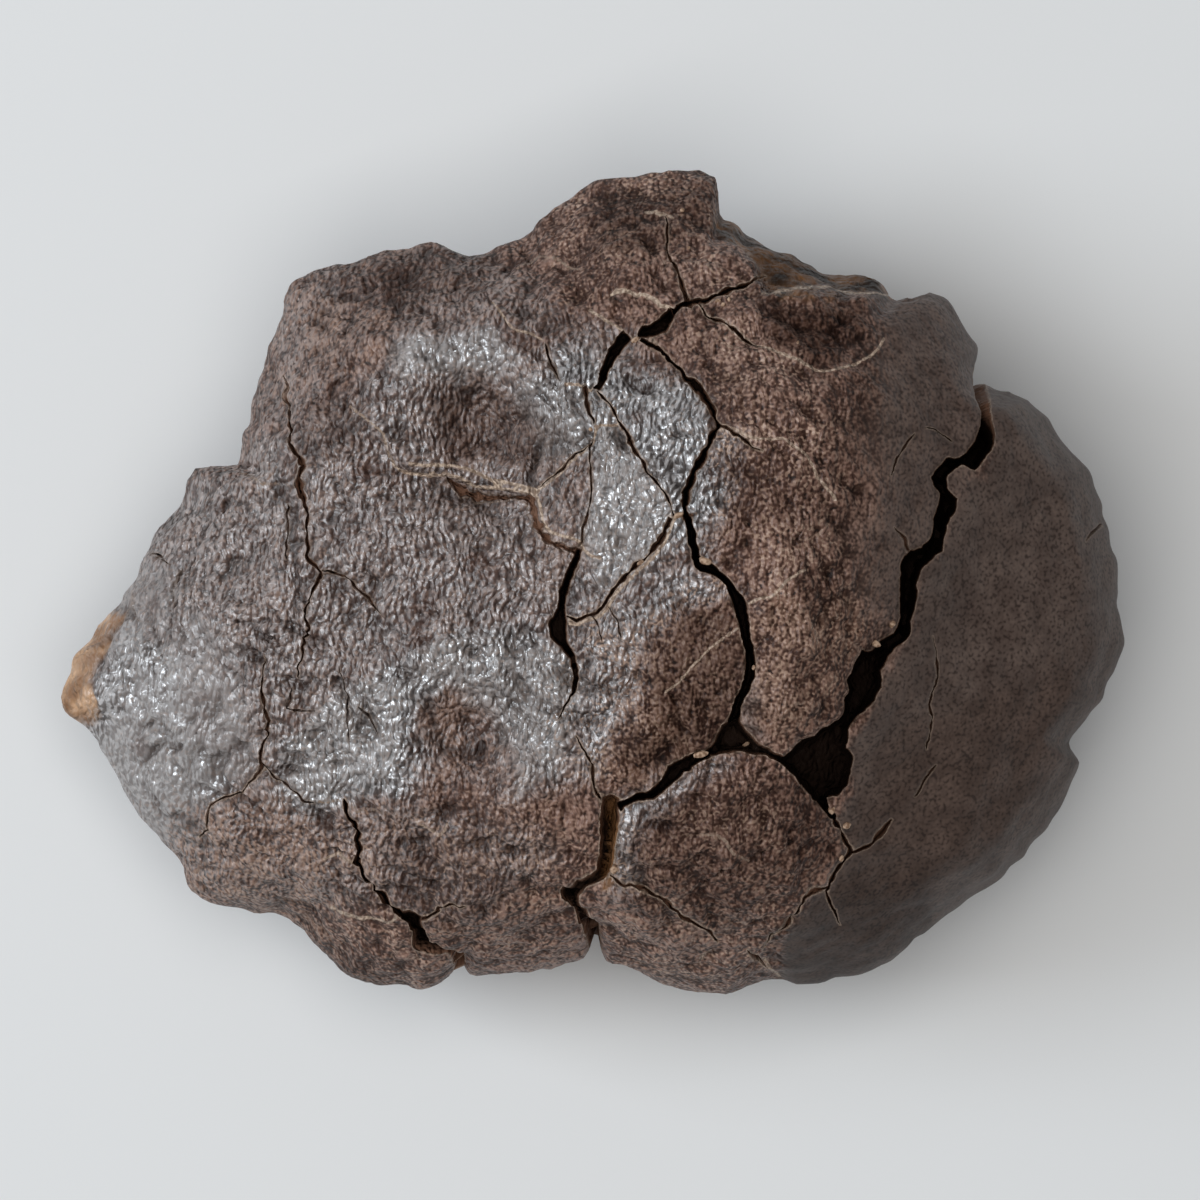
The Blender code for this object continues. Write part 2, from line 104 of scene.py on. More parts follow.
# the rim, where the top turns over: place, height mm, mm inwards over which the top is rounded
rim = [
    (61, 692, 17, 9), (140, 560, 19, 8), (190, 470, 20, 6), (264, 368, 22, 7), (300, 280, 24, 6),
    (440, 241, 27, 6), (540, 220, 28, 7), (620, 178, 28, 8), (718, 190, 28, 5), (760, 247, 26, 3.5),
    (850, 275, 26, 3), (888, 300, 26, 3.5), (926, 290, 26, 5), (980, 360, 25, 4.5),
    (1040, 408, 23, 4), (1100, 510, 20, 4), (1123, 628, 18, 4.5), (1075, 735, 17, 4),
    (1050, 829, 17, 4.5), (960, 906, 17, 6), (850, 978, 16, 7), (700, 992, 17, 9), (600, 955, 18, 8),
    (450, 975, 17, 8), (340, 974, 16, 8), (260, 912, 16, 7), (184, 880, 16, 6.5), (120, 787, 16, 8),
]

# spot heights of the top, mm
spots = [
    # left lobe
    (80, 690, 22), (130, 620, 26), (120, 760, 24), (180, 540, 27), (220, 490, 28.5), (200, 650, 31),
    (200, 750, 29.5), (180, 830, 25), (280, 560, 34), (280, 650, 35.5), (280, 750, 33),
    (260, 850, 28), (350, 700, 38), (380, 640, 39), (360, 770, 36), (330, 520, 37),
    # brown band along the upper left edge
    (300, 330, 30), (350, 290, 30.5), (400, 270, 31), (270, 420, 32), (340, 400, 36), (320, 370, 34),
    (380, 340, 36.5), (450, 300, 35.5), (500, 290, 37),
    # first thumbprint and its rim
    (400, 355, 38.5), (450, 342, 39.5), (500, 352, 41), (540, 375, 43), (490, 415, 37.4),
    (450, 430, 37.8), (530, 430, 41.5), (560, 450, 44), (400, 430, 39), (360, 430, 38),
    # middle, with the second thumbprint
    (420, 540, 40.5), (470, 600, 42), (520, 620, 43.5), (430, 680, 41.5), (465, 725, 38.3),
    (510, 690, 43.5), (500, 775, 41.5), (420, 760, 39.5), (540, 745, 43.8), (560, 690, 44.8),
    # crest
    (620, 440, 46.8), (650, 500, 48.3), (640, 570, 47.8), (600, 650, 46.2), (640, 700, 47),
    (620, 760, 45.2), (580, 820, 42), (700, 450, 49.6), (700, 600, 49.4), (760, 500, 50.6),
    (780, 600, 50.4), (700, 680, 48.2),
    # brown shoulder right of the crest
    (760, 380, 48), (800, 450, 50), (840, 520, 48.8), (860, 430, 47.2), (820, 650, 48.2),
    (800, 720, 46.8),
    # top lobe
    (620, 210, 33), (690, 210, 33.5), (600, 260, 37), (660, 280, 39.5), (560, 250, 34),
    (540, 290, 37.5), (600, 340, 42), (650, 370, 45), (700, 340, 44.5), (720, 280, 40.5),
    # upper right block
    (780, 310, 43), (840, 320, 41.5), (900, 330, 38), (940, 340, 35.5), (900, 400, 43),
    (950, 400, 38.5), (900, 480, 44.2), (880, 560, 46), (930, 450, 41.5),
    # slab
    (1000, 420, 35.5), (960, 520, 39), (1040, 480, 33.5), (1080, 540, 30.2), (930, 620, 40),
    (1000, 600, 36), (1060, 620, 32), (1100, 640, 28.5), (900, 720, 40), (960, 720, 36.5),
    (1040, 720, 31), (880, 800, 38), (940, 820, 34), (1020, 800, 29.5), (860, 890, 33.5),
    (920, 880, 31), (850, 950, 28),
    # lower block
    (700, 790, 45), (640, 830, 43), (760, 800, 44.3), (700, 870, 41), (780, 880, 39.5),
    (660, 930, 35), (740, 950, 33), (800, 940, 32.5),
    # bottom left
    (540, 860, 39.5), (500, 900, 36), (450, 850, 37.3), (400, 820, 36.5), (350, 850, 33),
    (400, 920, 31), (540, 940, 31.5), (300, 890, 27), (350, 940, 26.5),
]

# ledges: the surface left of the path stands so many mm higher beside it, fading over so many mm
ledges = [
    ([(530, 548), (533, 520), (530, 497), (480, 486), (440, 476), (400, 468), (388, 446),
      (366, 420)], -1.6, 11),
    ([(712, 222), (736, 246), (754, 266), (764, 290), (810, 293), (850, 298), (876, 300),
      (892, 306)], -3.6, 9),
    ([(980, 380), (980, 440), (940, 480), (940, 530), (906, 580), (900, 640), (862, 700),
      (840, 780)], 0.9, 9),
]

stoneForm = dict(
    spotSoftness=5 * mm,             # how softly the spot heights blend
    restRadius=16.5 * mm,
    restCentre=(3.0 * mm, -2.5 * mm),
    broadSize=14 * mm, broadHeight=0.6,
    knobSize=3.6 * mm, knobHeight=0.2,
    faceSize=19 * mm, thumbSize=11 * mm,
)


def polarRows(places):
    x, y = plan([p[0] for p in places], [p[1] for p in places])
    hubX, hubY = plan(*survey["hubPx"])
    angle = np.arctan2(y - hubY, x - hubX)
    order = np.argsort(angle)
    return angle[order], np.hypot(x - hubX, y - hubY)[order], order


hubX, hubY = (float(v) for v in plan(*survey["hubPx"]))
rowAngle, rowReach, _ = polarRows(silhouette)
rimAngle, _, rimOrder = polarRows(rim)


def around(angle, known, values):
    return np.interp(angle, known, values, period=2 * math.pi)


def smooth(value):
    value = np.clip(value, 0.0, 1.0)
    return value * value * (3.0 - 2.0 * value)


def reach(angle):
    # silhouette, its undercut corners eased over a degree
    steps = np.radians(np.arange(-0.5, 0.6, 0.25))
    return sum(around(angle + step, rowAngle, rowReach) for step in steps) / len(steps)


def calmReach(angle):
    # silhouette without its notches
    steps = np.radians(np.arange(-10.0, 11.0, 2.0))
    return sum(around(angle + step, rowAngle, rowReach) for step in steps) / len(steps)


def spanOf(share, angle):
    band = survey["edgeBand"]
    calm = calmReach(angle)
    return share * calm + (reach(angle) - calm) * smooth((share - 1.0 + band) / band)


def shareOf(span, angle):
    # inverse of spanOf, by halving
    band = survey["edgeBand"]
    calm, full = calmReach(angle), reach(angle)
    low, high = np.zeros(np.shape(span)), np.ones(np.shape(span))
    for _ in range(20):
        middle = (low + high) / 2
        short = middle * calm + (full - calm) * smooth((middle - 1.0 + band) / band) < span
        low, high = np.where(short, middle, low), np.where(short, high, middle)
    return (low + high) / 2


def rimValue(angle, column):
    return around(angle, rimAngle, np.array([rim[i][column] * mm for i in rimOrder]))


def solveSpots():
    x, y = plan([s[0] for s in spots], [s[1] for s in spots])
    height = np.array([s[2] * mm for s in spots])
    place = np.stack([x, y], axis=1)
    gap = place[:, None] - place[None]
    count = len(spots)
    system = np.zeros((count + 3, count + 3))
    system[:count, :count] = np.sqrt((gap ** 2).sum(axis=2) + stoneForm["spotSoftness"] ** 2)
    system[:count, count] = 1.0
    system[:count, count + 1:] = place
    system[count:, :count] = system[:count, count:].T
    return place, np.linalg.solve(system, np.concatenate([height, np.zeros(3)]))


spotPlace, spotWeight = solveSpots()


def spotSurface(x, y):
    height = spotWeight[-3] + spotWeight[-2] * x + spotWeight[-1] * y
    for place, weight in zip(spotPlace, spotWeight):
        height = height + weight * np.sqrt((x - place[0]) ** 2 + (y - place[1]) ** 2
                                           + stoneForm["spotSoftness"] ** 2)
    return height


def besidePath(x, y, path):
    # metres to the nearest point of a path, positive to its left, and how far along it, 0 to 1
    cornerX, cornerY = plan([p[0] for p in path], [p[1] for p in path])
    runs = np.hypot(np.diff(cornerX), np.diff(cornerY))
    started = np.concatenate([[0.0], np.cumsum(runs)])
    best, side, along = (np.full(np.shape(x), v) for v in (1.0, 1.0, 0.0))
    for i, run in enumerate(runs):
        stepX, stepY = (cornerX[i + 1] - cornerX[i]) / run, (cornerY[i + 1] - cornerY[i]) / run
        part = np.clip((x - cornerX[i]) * stepX + (y - cornerY[i]) * stepY, 0.0, run)
        offX, offY = x - cornerX[i] - stepX * part, y - cornerY[i] - stepY * part
        span = np.hypot(offX, offY)
        nearer = span < best
        best = np.where(nearer, span, best)
        side = np.where(nearer, np.sign(stepX * offY - stepY * offX), side)
        along = np.where(nearer, (started[i] + part) / started[-1], along)
    return best * side, along


def ledgeHeight(x, y):
    total = np.zeros(np.shape(x))
    for path, height, fade in ledges:
        span, along = besidePath(x, y, path)
        ends = smooth(along / 0.15) * smooth((1.0 - along) / 0.15)
        left = smooth(0.5 + span / (0.9 * mm))
        total += height * mm * ends * left * (1.0 - smooth(np.abs(span) / (fade * mm)))
    return total


def upperHeight(x, y, angle, share):
    edge = rimValue(angle, 2)
    inwards = np.clip((1.0 - share) * reach(angle) / rimValue(angle, 3), 0.0, 1.0)
    rounding = np.sqrt(1.0 - (1.0 - inwards) ** 2)
    return edge + (spotSurface(x, y) + ledgeHeight(x, y) - edge) * rounding


def lowerHeight(x, y, angle):
    restX, restY = stoneForm["restCentre"]
    fromRest = np.hypot(x - restX, y - restY)
    turn = np.arctan2(y - restY, x - restX)
    rest = stoneForm["restRadius"] * (1 + 0.14 * np.cos(3 * turn + 0.6) + 0.08 * np.cos(2 * turn - 1))
    room = fromRest + np.maximum(reach(angle) - np.hypot(x - hubX, y - hubY), 0.0)
    outwards = np.clip((fromRest - rest) / np.maximum(room - rest, 1e-6), 0.0, 1.0)
    belly = 2.3 + 0.5 * np.cos(2 * turn + 0.8) + 0.35 * np.cos(3 * turn - 0.9) + 0.3 * np.cos(5 * turn)
    return rimValue(angle, 2) * (1.0 - (1.0 - outwards ** belly) ** 0.62), outwards


# Open cracks, as the loop of their lips: depth mm, mm over which a wall drops, lime and painted highlight on the lips
# 0 to 1
gaps = {
    "slabCrack": (11, 0.5, 0.3, [
        (994, 344), (978, 362), (973, 380), (974, 396), (977, 410), (977, 424), (975, 434), (970, 444),
        (962, 454), (956, 459), (942, 460), (934, 470), (928, 478), (929, 488), (934, 493), (934, 502),
        (930, 520), (926, 537), (918, 548), (906, 551), (901, 558), (898, 566), (897, 580), (897, 616),
        (894, 626), (890, 632), (884, 638), (878, 642), (874, 650), (864, 651), (860, 649), (852, 664),
        (844, 680), (846, 692), (840, 698), (842, 706), (838, 718), (820, 728), (800, 740), (790, 748),
        (782, 754), (772, 758), (782, 764), (796, 780), (808, 794), (818, 804), (827, 815), (835, 820),
        (836, 814), (828, 806), (830, 799), (844, 788), (850, 778), (854, 756), (846, 746), (850, 724),
        (864, 708), (872, 700), (878, 688), (881, 670), (886, 658), (892, 648), (902, 640), (907, 632),
        (908, 622), (914, 610), (915, 596), (915, 580), (918, 570), (926, 559), (939, 552), (941, 538),
        (944, 526), (950, 514), (953, 500), (944, 490), (944, 478), (952, 470), (960, 466), (972, 472),
        (978, 462), (986, 454), (989, 446), (990, 428), (990, 392), (987, 382), (992, 376), (1008, 364),
    ]),
    "plateLeft": (6, 0.3, 0.6, [
        (683, 517), (690, 516), (694, 530), (697, 543), (700, 555), (706, 560), (713, 563), (721, 572),
        (731, 582), (741, 594), (747, 604), (747, 620), (749, 636), (754, 648), (756, 660), (756, 672),
        (752, 684), (746, 696), (741, 708), (740, 718), (724, 728), (730, 712), (734, 700), (740, 686),
        (745, 668), (745, 652), (740, 636), (736, 620), (732, 600), (724, 585), (712, 576), (700, 572),
        (694, 568), (691, 556), (688, 545), (686, 532),
    ]),
    "tripleHollow": (5, 0.6, 0.4, [
        (722, 726), (740, 709), (741, 720), (747, 732), (758, 742), (770, 749), (783, 755), (778, 761),
        (768, 757), (756, 754), (742, 752), (728, 752), (716, 755), (706, 758), (705, 750), (712, 743),
        (716, 735),
    ]),
    "lowerBlockTop": (5, 0.35, 0.8, [
        (616, 801), (630, 795), (650, 785), (660, 775), (668, 763), (680, 756), (690, 753), (700, 750),
        (710, 749), (710, 757), (696, 762), (684, 770), (674, 779), (664, 787), (650, 795), (636, 801),
        (620, 808),
    ]),
    "rustyHole": (5, 0.9, 0.9, [
        (603, 794), (612, 792), (620, 797), (619, 812), (618, 826), (616, 842), (614, 856), (611, 868),
        (606, 877), (596, 882), (586, 887), (580, 894), (580, 902), (586, 911), (592, 917), (597, 927),
        (600, 938), (601, 950), (604, 985), (588, 985), (589, 948), (584, 934), (579, 922), (574, 910),
        (570, 902), (562, 899), (558, 892), (566, 884), (576, 878), (588, 873), (596, 866), (599, 854),
        (600, 840), (600, 826), (600, 810),
    ]),
    "middleHole": (4.5, 0.35, 0.4, [
        (577, 549), (584, 548), (580, 560), (575, 572), (569, 586), (566, 598), (565, 610), (567, 622),
        (567, 634), (569, 644), (574, 654), (578, 664), (578, 678), (575, 690), (571, 692),
        (572, 684), (573, 674), (569, 661), (561, 649), (551, 637),
        (547, 624), (553, 617), (557, 608), (558, 596), (560, 586), (566, 572), (571, 560),
    ]),
    "saddleHoleRight": (4.5, 0.35, 0.5, [
        (668, 312), (678, 312), (672, 326), (667, 335), (657, 341), (646, 345), (635, 341), (640, 333),
        (650, 329), (659, 321),
    ]),
    "saddleHoleLeft": (4.5, 0.3, 0.5, [
        (623, 335), (632, 343), (624, 352), (616, 362), (610, 372), (606, 383), (600, 394), (592, 391),
        (597, 386), (599, 376), (605, 362), (609, 350), (617, 340),
    ]),
    "bottomHole": (5, 0.5, 0.5, [
        (398, 911), (408, 909), (422, 916), (423, 930), (428, 940), (437, 949), (448, 953), (459, 956),
        (462, 968), (466, 1000), (452, 1000), (452, 972), (449, 961), (440, 957), (428, 955),
        (415, 950), (409, 938), (408, 926), (402, 919),
    ]),
}

# Narrow cracks, along their middle: depth mm, lime and painted highlight on the lips 0 to 1, places with a width in
# pixels
cracks = {
    "saddleUp": (1.6, 0.3, [(665, 222, 1), (666, 240, 2.5), (667, 252, 3), (672, 266, 3), (678, 278, 4),
                            (682, 290, 5), (687, 301, 9), (685, 310, 8)]),
    "saddleRight": (3, 0.8, [(682, 308, 6), (696, 304, 6), (708, 302, 6), (720, 296, 6), (732, 291, 6),
                             (746, 284, 5), (756, 278, 4), (767, 275, 1)]),
    "saddleJoin": (3.5, 0.6, [(687, 303, 8), (679, 310, 9), (672, 316, 9)]),
    "plateSeam": (1.8, 0.9, [(696, 306, 2), (708, 316, 3.5), (720, 322, 4), (732, 330, 4), (742, 336, 4),
                             (752, 342, 3), (764, 348, 1)]),
    "plateTop": (3.2, 0.7, [(640, 345, 2), (650, 351, 5), (660, 352, 6), (668, 360, 7), (676, 368, 7),
                            (684, 378, 6), (692, 386, 7), (700, 396, 7), (706, 406, 7), (712, 418, 6),
                            (718, 430, 5)]),
    "plateTopEnd": (1.4, 1.0, [(716, 426, 3), (730, 436, 4), (744, 446, 3.5), (760, 455, 1)]),
    "plateLeftUpper": (4.5, 0.5, [(719, 427, 4), (710, 440, 6), (704, 452, 6.5), (700, 464, 7),
                                  (692, 474, 7), (690, 484, 6), (685, 494, 6), (684, 508, 6),
                                  (685, 519, 6)]),
    "veinCrackUpper": (1.8, 0.8, [(597, 393, 3), (608, 406, 3), (616, 418, 3), (622, 428, 3),
                                  (628, 438, 4), (634, 452, 4), (642, 464, 3), (650, 478, 3),
                                  (658, 488, 3), (664, 496, 3), (669, 506, 3), (672, 517, 3)]),
    "veinCrackLower": (2.0, 1.0, [(670, 518, 5), (664, 530, 5), (660, 540, 5), (650, 552, 5),
                                  (644, 560, 4), (634, 566, 4), (626, 576, 4), (614, 588, 3.5),
                                  (608, 598, 3), (604, 606, 3), (597, 613, 3), (586, 616, 3),
                                  (576, 621, 3), (566, 616, 2)]),
    "middleTail": (2.4, 0.5, [(576, 668, 4), (577, 680, 4), (572, 694, 4), (565, 706, 3), (559, 719, 1)]),
    "leftSliver": (1.5, 0.5, [(585, 388, 4), (586, 400, 5), (589, 412, 5), (595, 427, 1.5)]),
    "plumbLine": (1.0, 0.3, [(592, 436, 1.5), (590, 450, 2.5), (590, 466, 3), (591, 480, 3), (593, 490, 3),
                             (590, 504, 3), (588, 518, 3), (583, 530, 3), (581, 544, 2)]),
    "thumbDiagonal": (0.9, 1.0, [(592, 440, 2), (586, 448, 2.5), (576, 456, 3), (570, 461, 3),
                                 (564, 469, 3), (550, 479, 3), (538, 488, 2)]),
    "scarpUndercut": (1.1, 0.2, [(446, 476, 2), (453, 484, 7), (462, 490, 11), (474, 496, 8),
                                 (486, 498, 6), (500, 498, 6), (516, 499, 6), (530, 500, 8),
                                 (534, 510, 9), (536, 520, 10), (541, 532, 9), (549, 542, 8),
                                 (560, 547, 8), (571, 550, 7), (581, 552, 5)]),
    "leftLong": (1.6, 0.2, [(281, 374, 1), (286, 386, 3), (282, 396, 3), (286, 407, 3), (288, 418, 3),
                            (292, 430, 3.5), (292, 444, 3.5), (298, 456, 4), (306, 468, 6),
                            (302, 478, 6), (302, 488, 6), (305, 500, 5), (311, 518, 4), (312, 536, 4),
                            (311, 556, 3.5), (316, 564, 4), (323, 572, 3.5), (320, 584, 3.5),
                            (315, 598, 3.5), (309, 608, 3.5), (310, 620, 3), (312, 628, 3),
                            (306, 636, 3), (306, 650, 3), (302, 664, 2.5), (300, 678, 1)]),
    "leftShort": (0.7, 0, [(285, 504, 1), (288, 526, 2.5), (288, 540, 2.5), (289, 560, 1)]),
    "lobeSteep": (1.2, 0.3, [(264, 656, 1), (265, 678, 3), (266, 690, 3.5), (267, 706, 4), (271, 720, 4),
                             (268, 734, 4), (266, 746, 4), (264, 764, 3), (264, 768, 2)]),
    "lobeFoot": (0.9, 0.7, [(264, 762, 2), (260, 772, 3), (250, 784, 3), (242, 793, 3), (230, 795, 3),
                            (220, 800, 3), (212, 806, 3), (210, 816, 3), (211, 828, 2.5),
                            (200, 837, 1)]),
    "lobeFootRight": (0.9, 0.4, [(264, 762, 2), (270, 770, 3), (276, 776, 3), (290, 782, 3),
                                 (300, 788, 3), (308, 796, 2.5), (318, 802, 1)]),
    "lobeTiny": (0.6, 0, [(293, 686, 1), (292, 700, 2.5), (290, 708, 2.5), (302, 710, 2), (318, 711, 1)]),
    "sheenLine": (0.6, 0, [(341, 666, 1), (343, 684, 2.5), (347, 700, 2.5), (349, 720, 2.5),
                           (350, 738, 1)]),
    "sheenShort": (0.6, 0, [(360, 706, 1), (370, 720, 2.5), (378, 734, 1)]),
    "leftFork": (0.9, 0.2, [(324, 570, 1.5), (345, 576, 3), (358, 588, 3), (372, 600, 3), (382, 614, 1)]),
    "leftNick": (0.6, 0, [(181, 568, 1), (175, 580, 2.5), (171, 589, 2.5), (173, 604, 1)]),
    "edgeChip": (0.8, 0, [(147, 551, 1), (155, 555, 4), (168, 565, 1)]),
    "edgeChipLow": (0.8, 0, [(128, 590, 1), (130, 600, 4), (126, 610, 4), (133, 620, 1)]),
    "bottomLong": (3.0, 0.5, [(347, 797, 1.5), (354, 814, 5), (362, 830, 6), (362, 840, 6), (360, 857, 6),
                              (366, 871, 6), (374, 885, 7), (384, 898, 7), (392, 908, 7),
                              (402, 915, 8)]),
    "bottomBranch": (1.4, 0.8, [(420, 919, 4), (428, 918, 4), (436, 912, 4), (440, 906, 4), (452, 901, 3),
                                (468, 902, 1)]),
    "rustyStem": (1.3, 0.7, [(576, 736, 1), (586, 750, 3), (592, 764, 3.5), (594, 780, 4),
                             (601, 797, 4)]),
    "slabBranch": (1.0, 0.1, [(931, 636, 1), (931, 650, 2), (934, 664, 2.5), (934, 678, 2.5),
                              (931, 686, 2.5), (927, 696, 2.5), (926, 706, 2.5), (929, 716, 2.5),
                              (928, 730, 2.5), (926, 750, 1)]),
    "slabBranchLow": (0.9, 0.1, [(935, 765, 1), (928, 774, 3), (920, 786, 3), (914, 796, 1)]),
    "slabRight": (2.0, 0.3, [(891, 819, 2), (882, 830, 5), (874, 838, 5), (868, 845, 4.5), (860, 848, 4),
                             (849, 851, 3)]),
    "slabFoot": (2.4, 0.7, [(833, 816, 6), (838, 826, 5), (844, 837, 4), (849, 850, 5), (842, 860, 5),
                            (836, 870, 5), (828, 882, 4), (826, 890, 4), (830, 904, 3.5),
                            (834, 910, 3), (841, 926, 1)]),
    "slabFootLeft": (1.2, 0.9, [(827, 885, 3), (820, 888, 3.5), (804, 894, 3.5), (800, 906, 3.5),
                                (796, 914, 3), (790, 923, 3), (780, 930, 2.5), (772, 938, 2.5),
                                (763, 950, 1)]),
    "blockTopLeft": (0.9, 0.1, [(912, 434, 1), (904, 444, 3), (898, 452, 3), (892, 462, 3),
                                (886, 478, 1)]),
    "blockTopRight": (0.8, 0.1, [(924, 430, 1), (932, 431, 2.5), (942, 436, 2.5), (949, 442, 1)]),
    "blockLow": (0.9, 0.1, [(891, 528, 1), (900, 538, 3.5), (906, 552, 3)]),
    "ledgeFoot": (1.4, 0.9, [(610, 876, 3), (622, 880, 4), (638, 886, 4), (650, 892, 4), (664, 899, 5),
                             (672, 907, 5), (684, 918, 5), (696, 924, 4), (705, 928, 4), (711, 933, 4),
                             (718, 944, 2)]),
    "innerPlate": (0.7, 0, [(591, 614, 1), (598, 624, 2.5), (602, 642, 1)]),
    "innerPlateRight": (0.7, 0, [(607, 606, 1), (618, 622, 2.5), (621, 642, 1)]),
    "thumbRight": (0.9, 0.3, [(545, 344, 1), (548, 352, 3), (552, 364, 3.5), (556, 374, 3.5),
                              (560, 384, 1)]),
    "slabNick": (0.9, 0, [(1101, 524, 3), (1092, 532, 4), (1082, 542, 1)]),
    "footGap": (1.2, 0.9, [(748, 949, 2), (754, 955, 5), (760, 961, 5), (768, 968, 1)]),
}

# Shallow grooves: depth mm, places with a width in pixels
grooves = [
    (0.35, [(226, 474, 4), (228, 490, 8), (224, 502, 8), (223, 516, 8), (225, 530, 4)]),
    (0.35, [(318, 398, 4), (330, 408, 8), (336, 418, 8), (338, 432, 4)]),
    (0.35, [(128, 646, 4), (132, 666, 8), (130, 682, 8), (131, 694, 8), (137, 710, 4)]),
    (0.25, [(214, 594, 3), (209, 606, 6), (210, 614, 6), (219, 622, 3)]),
    (0.25, [(520, 836, 4), (532, 856, 8), (544, 874, 8), (553, 892, 4)]),
]

# Small dents: place, half width and half height in pixels, depth mm
dents = [
    (406, 821, 8, 6, 0.35), (433, 873, 9, 6, 0.35), (445, 784, 7, 9, 0.35),
    (534, 858, 6, 5, 0.3), (538, 778, 6, 4, 0.3), (506, 904, 8, 12, 0.35), (659, 422, 6, 5, 0.3),
    (672, 472, 4, 13, 0.3), (512, 694, 4, 9, 0.25), (1010, 480, 8, 5, 0.2), (1028, 503, 6, 5, 0.25),
    (1045, 515, 7, 5, 0.2), (1035, 550, 8, 5, 0.2), (1066, 560, 7, 6, 0.25), (1080, 515, 6, 6, 0.2),
]

# Lime veins: width in pixels, how thickly the lime covers 0 to 1, course
veins = {
    "bandUpper": (3.2, 1.0, [(412, 465), (432, 466), (452, 466), (466, 469), (480, 474), (492, 480),
                             (510, 483), (526, 488), (536, 489)]),
    "bandLower": (3.2, 1.0, [(396, 466), (400, 470), (410, 474), (430, 476), (448, 475), (460, 478),
                             (476, 486), (500, 488), (520, 492), (532, 494)]),
    "bandStart": (2.2, 0.6, [(352, 408), (362, 416), (370, 422), (380, 430), (386, 438), (390, 450),
                             (396, 466)]),
    "scarpLip": (3.0, 0.9, [(533, 492), (537, 497), (541, 512), (544, 524), (550, 532), (560, 536),
                            (570, 538), (580, 542), (584, 550), (590, 556), (600, 559)]),
    "saddleTop": (4.0, 1.0, [(612, 296), (620, 294), (636, 296), (648, 298), (656, 302), (660, 308),
                             (672, 311)]),
    "saddleLeft": (3.0, 0.8, [(590, 312), (600, 320), (610, 326), (622, 334)]),
    "plateEdge": (2.6, 0.9, [(760, 347), (780, 353), (800, 363), (816, 370), (826, 372), (840, 369),
                             (856, 364), (868, 358), (876, 350), (880, 342)]),
    "plateInner": (2.4, 0.8, [(722, 429), (732, 433), (740, 438), (748, 442), (760, 442), (780, 441),
                              (790, 448), (802, 456), (808, 466), (812, 478), (820, 486), (828, 494),
                              (832, 502)]),
    "branchLow": (2.0, 0.7, [(741, 624), (730, 632), (720, 640), (708, 648), (698, 658), (688, 670),
                             (678, 682), (665, 693)]),
    "branchRight": (2.4, 0.9, [(748, 603), (760, 598), (768, 597), (778, 588), (784, 580), (796, 573),
                               (803, 570)]),
    "middleLink": (2.2, 0.8, [(595, 429), (600, 427), (610, 426), (619, 424)]),
    "thumbDiagonalLip": (2.4, 1.0, [(596, 430), (592, 443), (583, 452), (572, 463), (565, 471),
                                    (551, 482), (537, 491)]),
    "crackLowerLip": (3.0, 1.0, [(674, 520), (668, 533), (663, 545), (653, 557), (646, 565), (637, 571),
                                 (628, 581), (617, 592), (612, 600), (608, 608), (599, 617),
                                 (587, 620), (577, 625), (567, 623)]),
    "thumbTop": (2.2, 0.7, [(494, 306), (500, 314), (510, 326), (520, 332), (532, 335), (543, 341)]),
    "thumbRight": (3.0, 0.8, [(566, 385), (584, 390), (592, 392)]),
    "lobeTop": (2.0, 0.5, [(516, 266), (526, 260), (540, 257), (550, 258), (562, 262), (570, 266),
                           (580, 269)]),
    "topLobe": (3.0, 0.7, [(646, 214), (656, 216), (672, 222)]),
    "lobeUpper": (2.0, 0.5, [(240, 473), (252, 476), (260, 480), (268, 486), (278, 484)]),
    "bottomOne": (2.4, 0.7, [(326, 857), (338, 853), (350, 857), (359, 860)]),
    "bottomTwo": (2.6, 0.8, [(328, 908), (340, 910), (352, 916), (370, 919), (388, 923), (398, 917)]),
    "bottomThree": (2.2, 0.6, [(420, 818), (430, 826), (442, 834), (450, 822)]),
    "bottomFour": (2.0, 0.4, [(320, 800), (346, 797), (360, 808), (400, 810)]),
    "blockFaint": (2.4, 0.5, [(700, 832), (712, 830), (724, 838), (730, 848), (748, 860)]),
    "footVein": (3.0, 0.8, [(764, 960), (772, 970), (780, 977)]),
    "footVeinLeft": (3.0, 0.7, [(712, 951), (701, 959)]),
    "ledgeCrust": (2.2, 0.8, [(762, 293), (790, 291), (810, 291), (830, 292), (846, 296), (860, 297),
                              (876, 298), (888, 300)]),
}


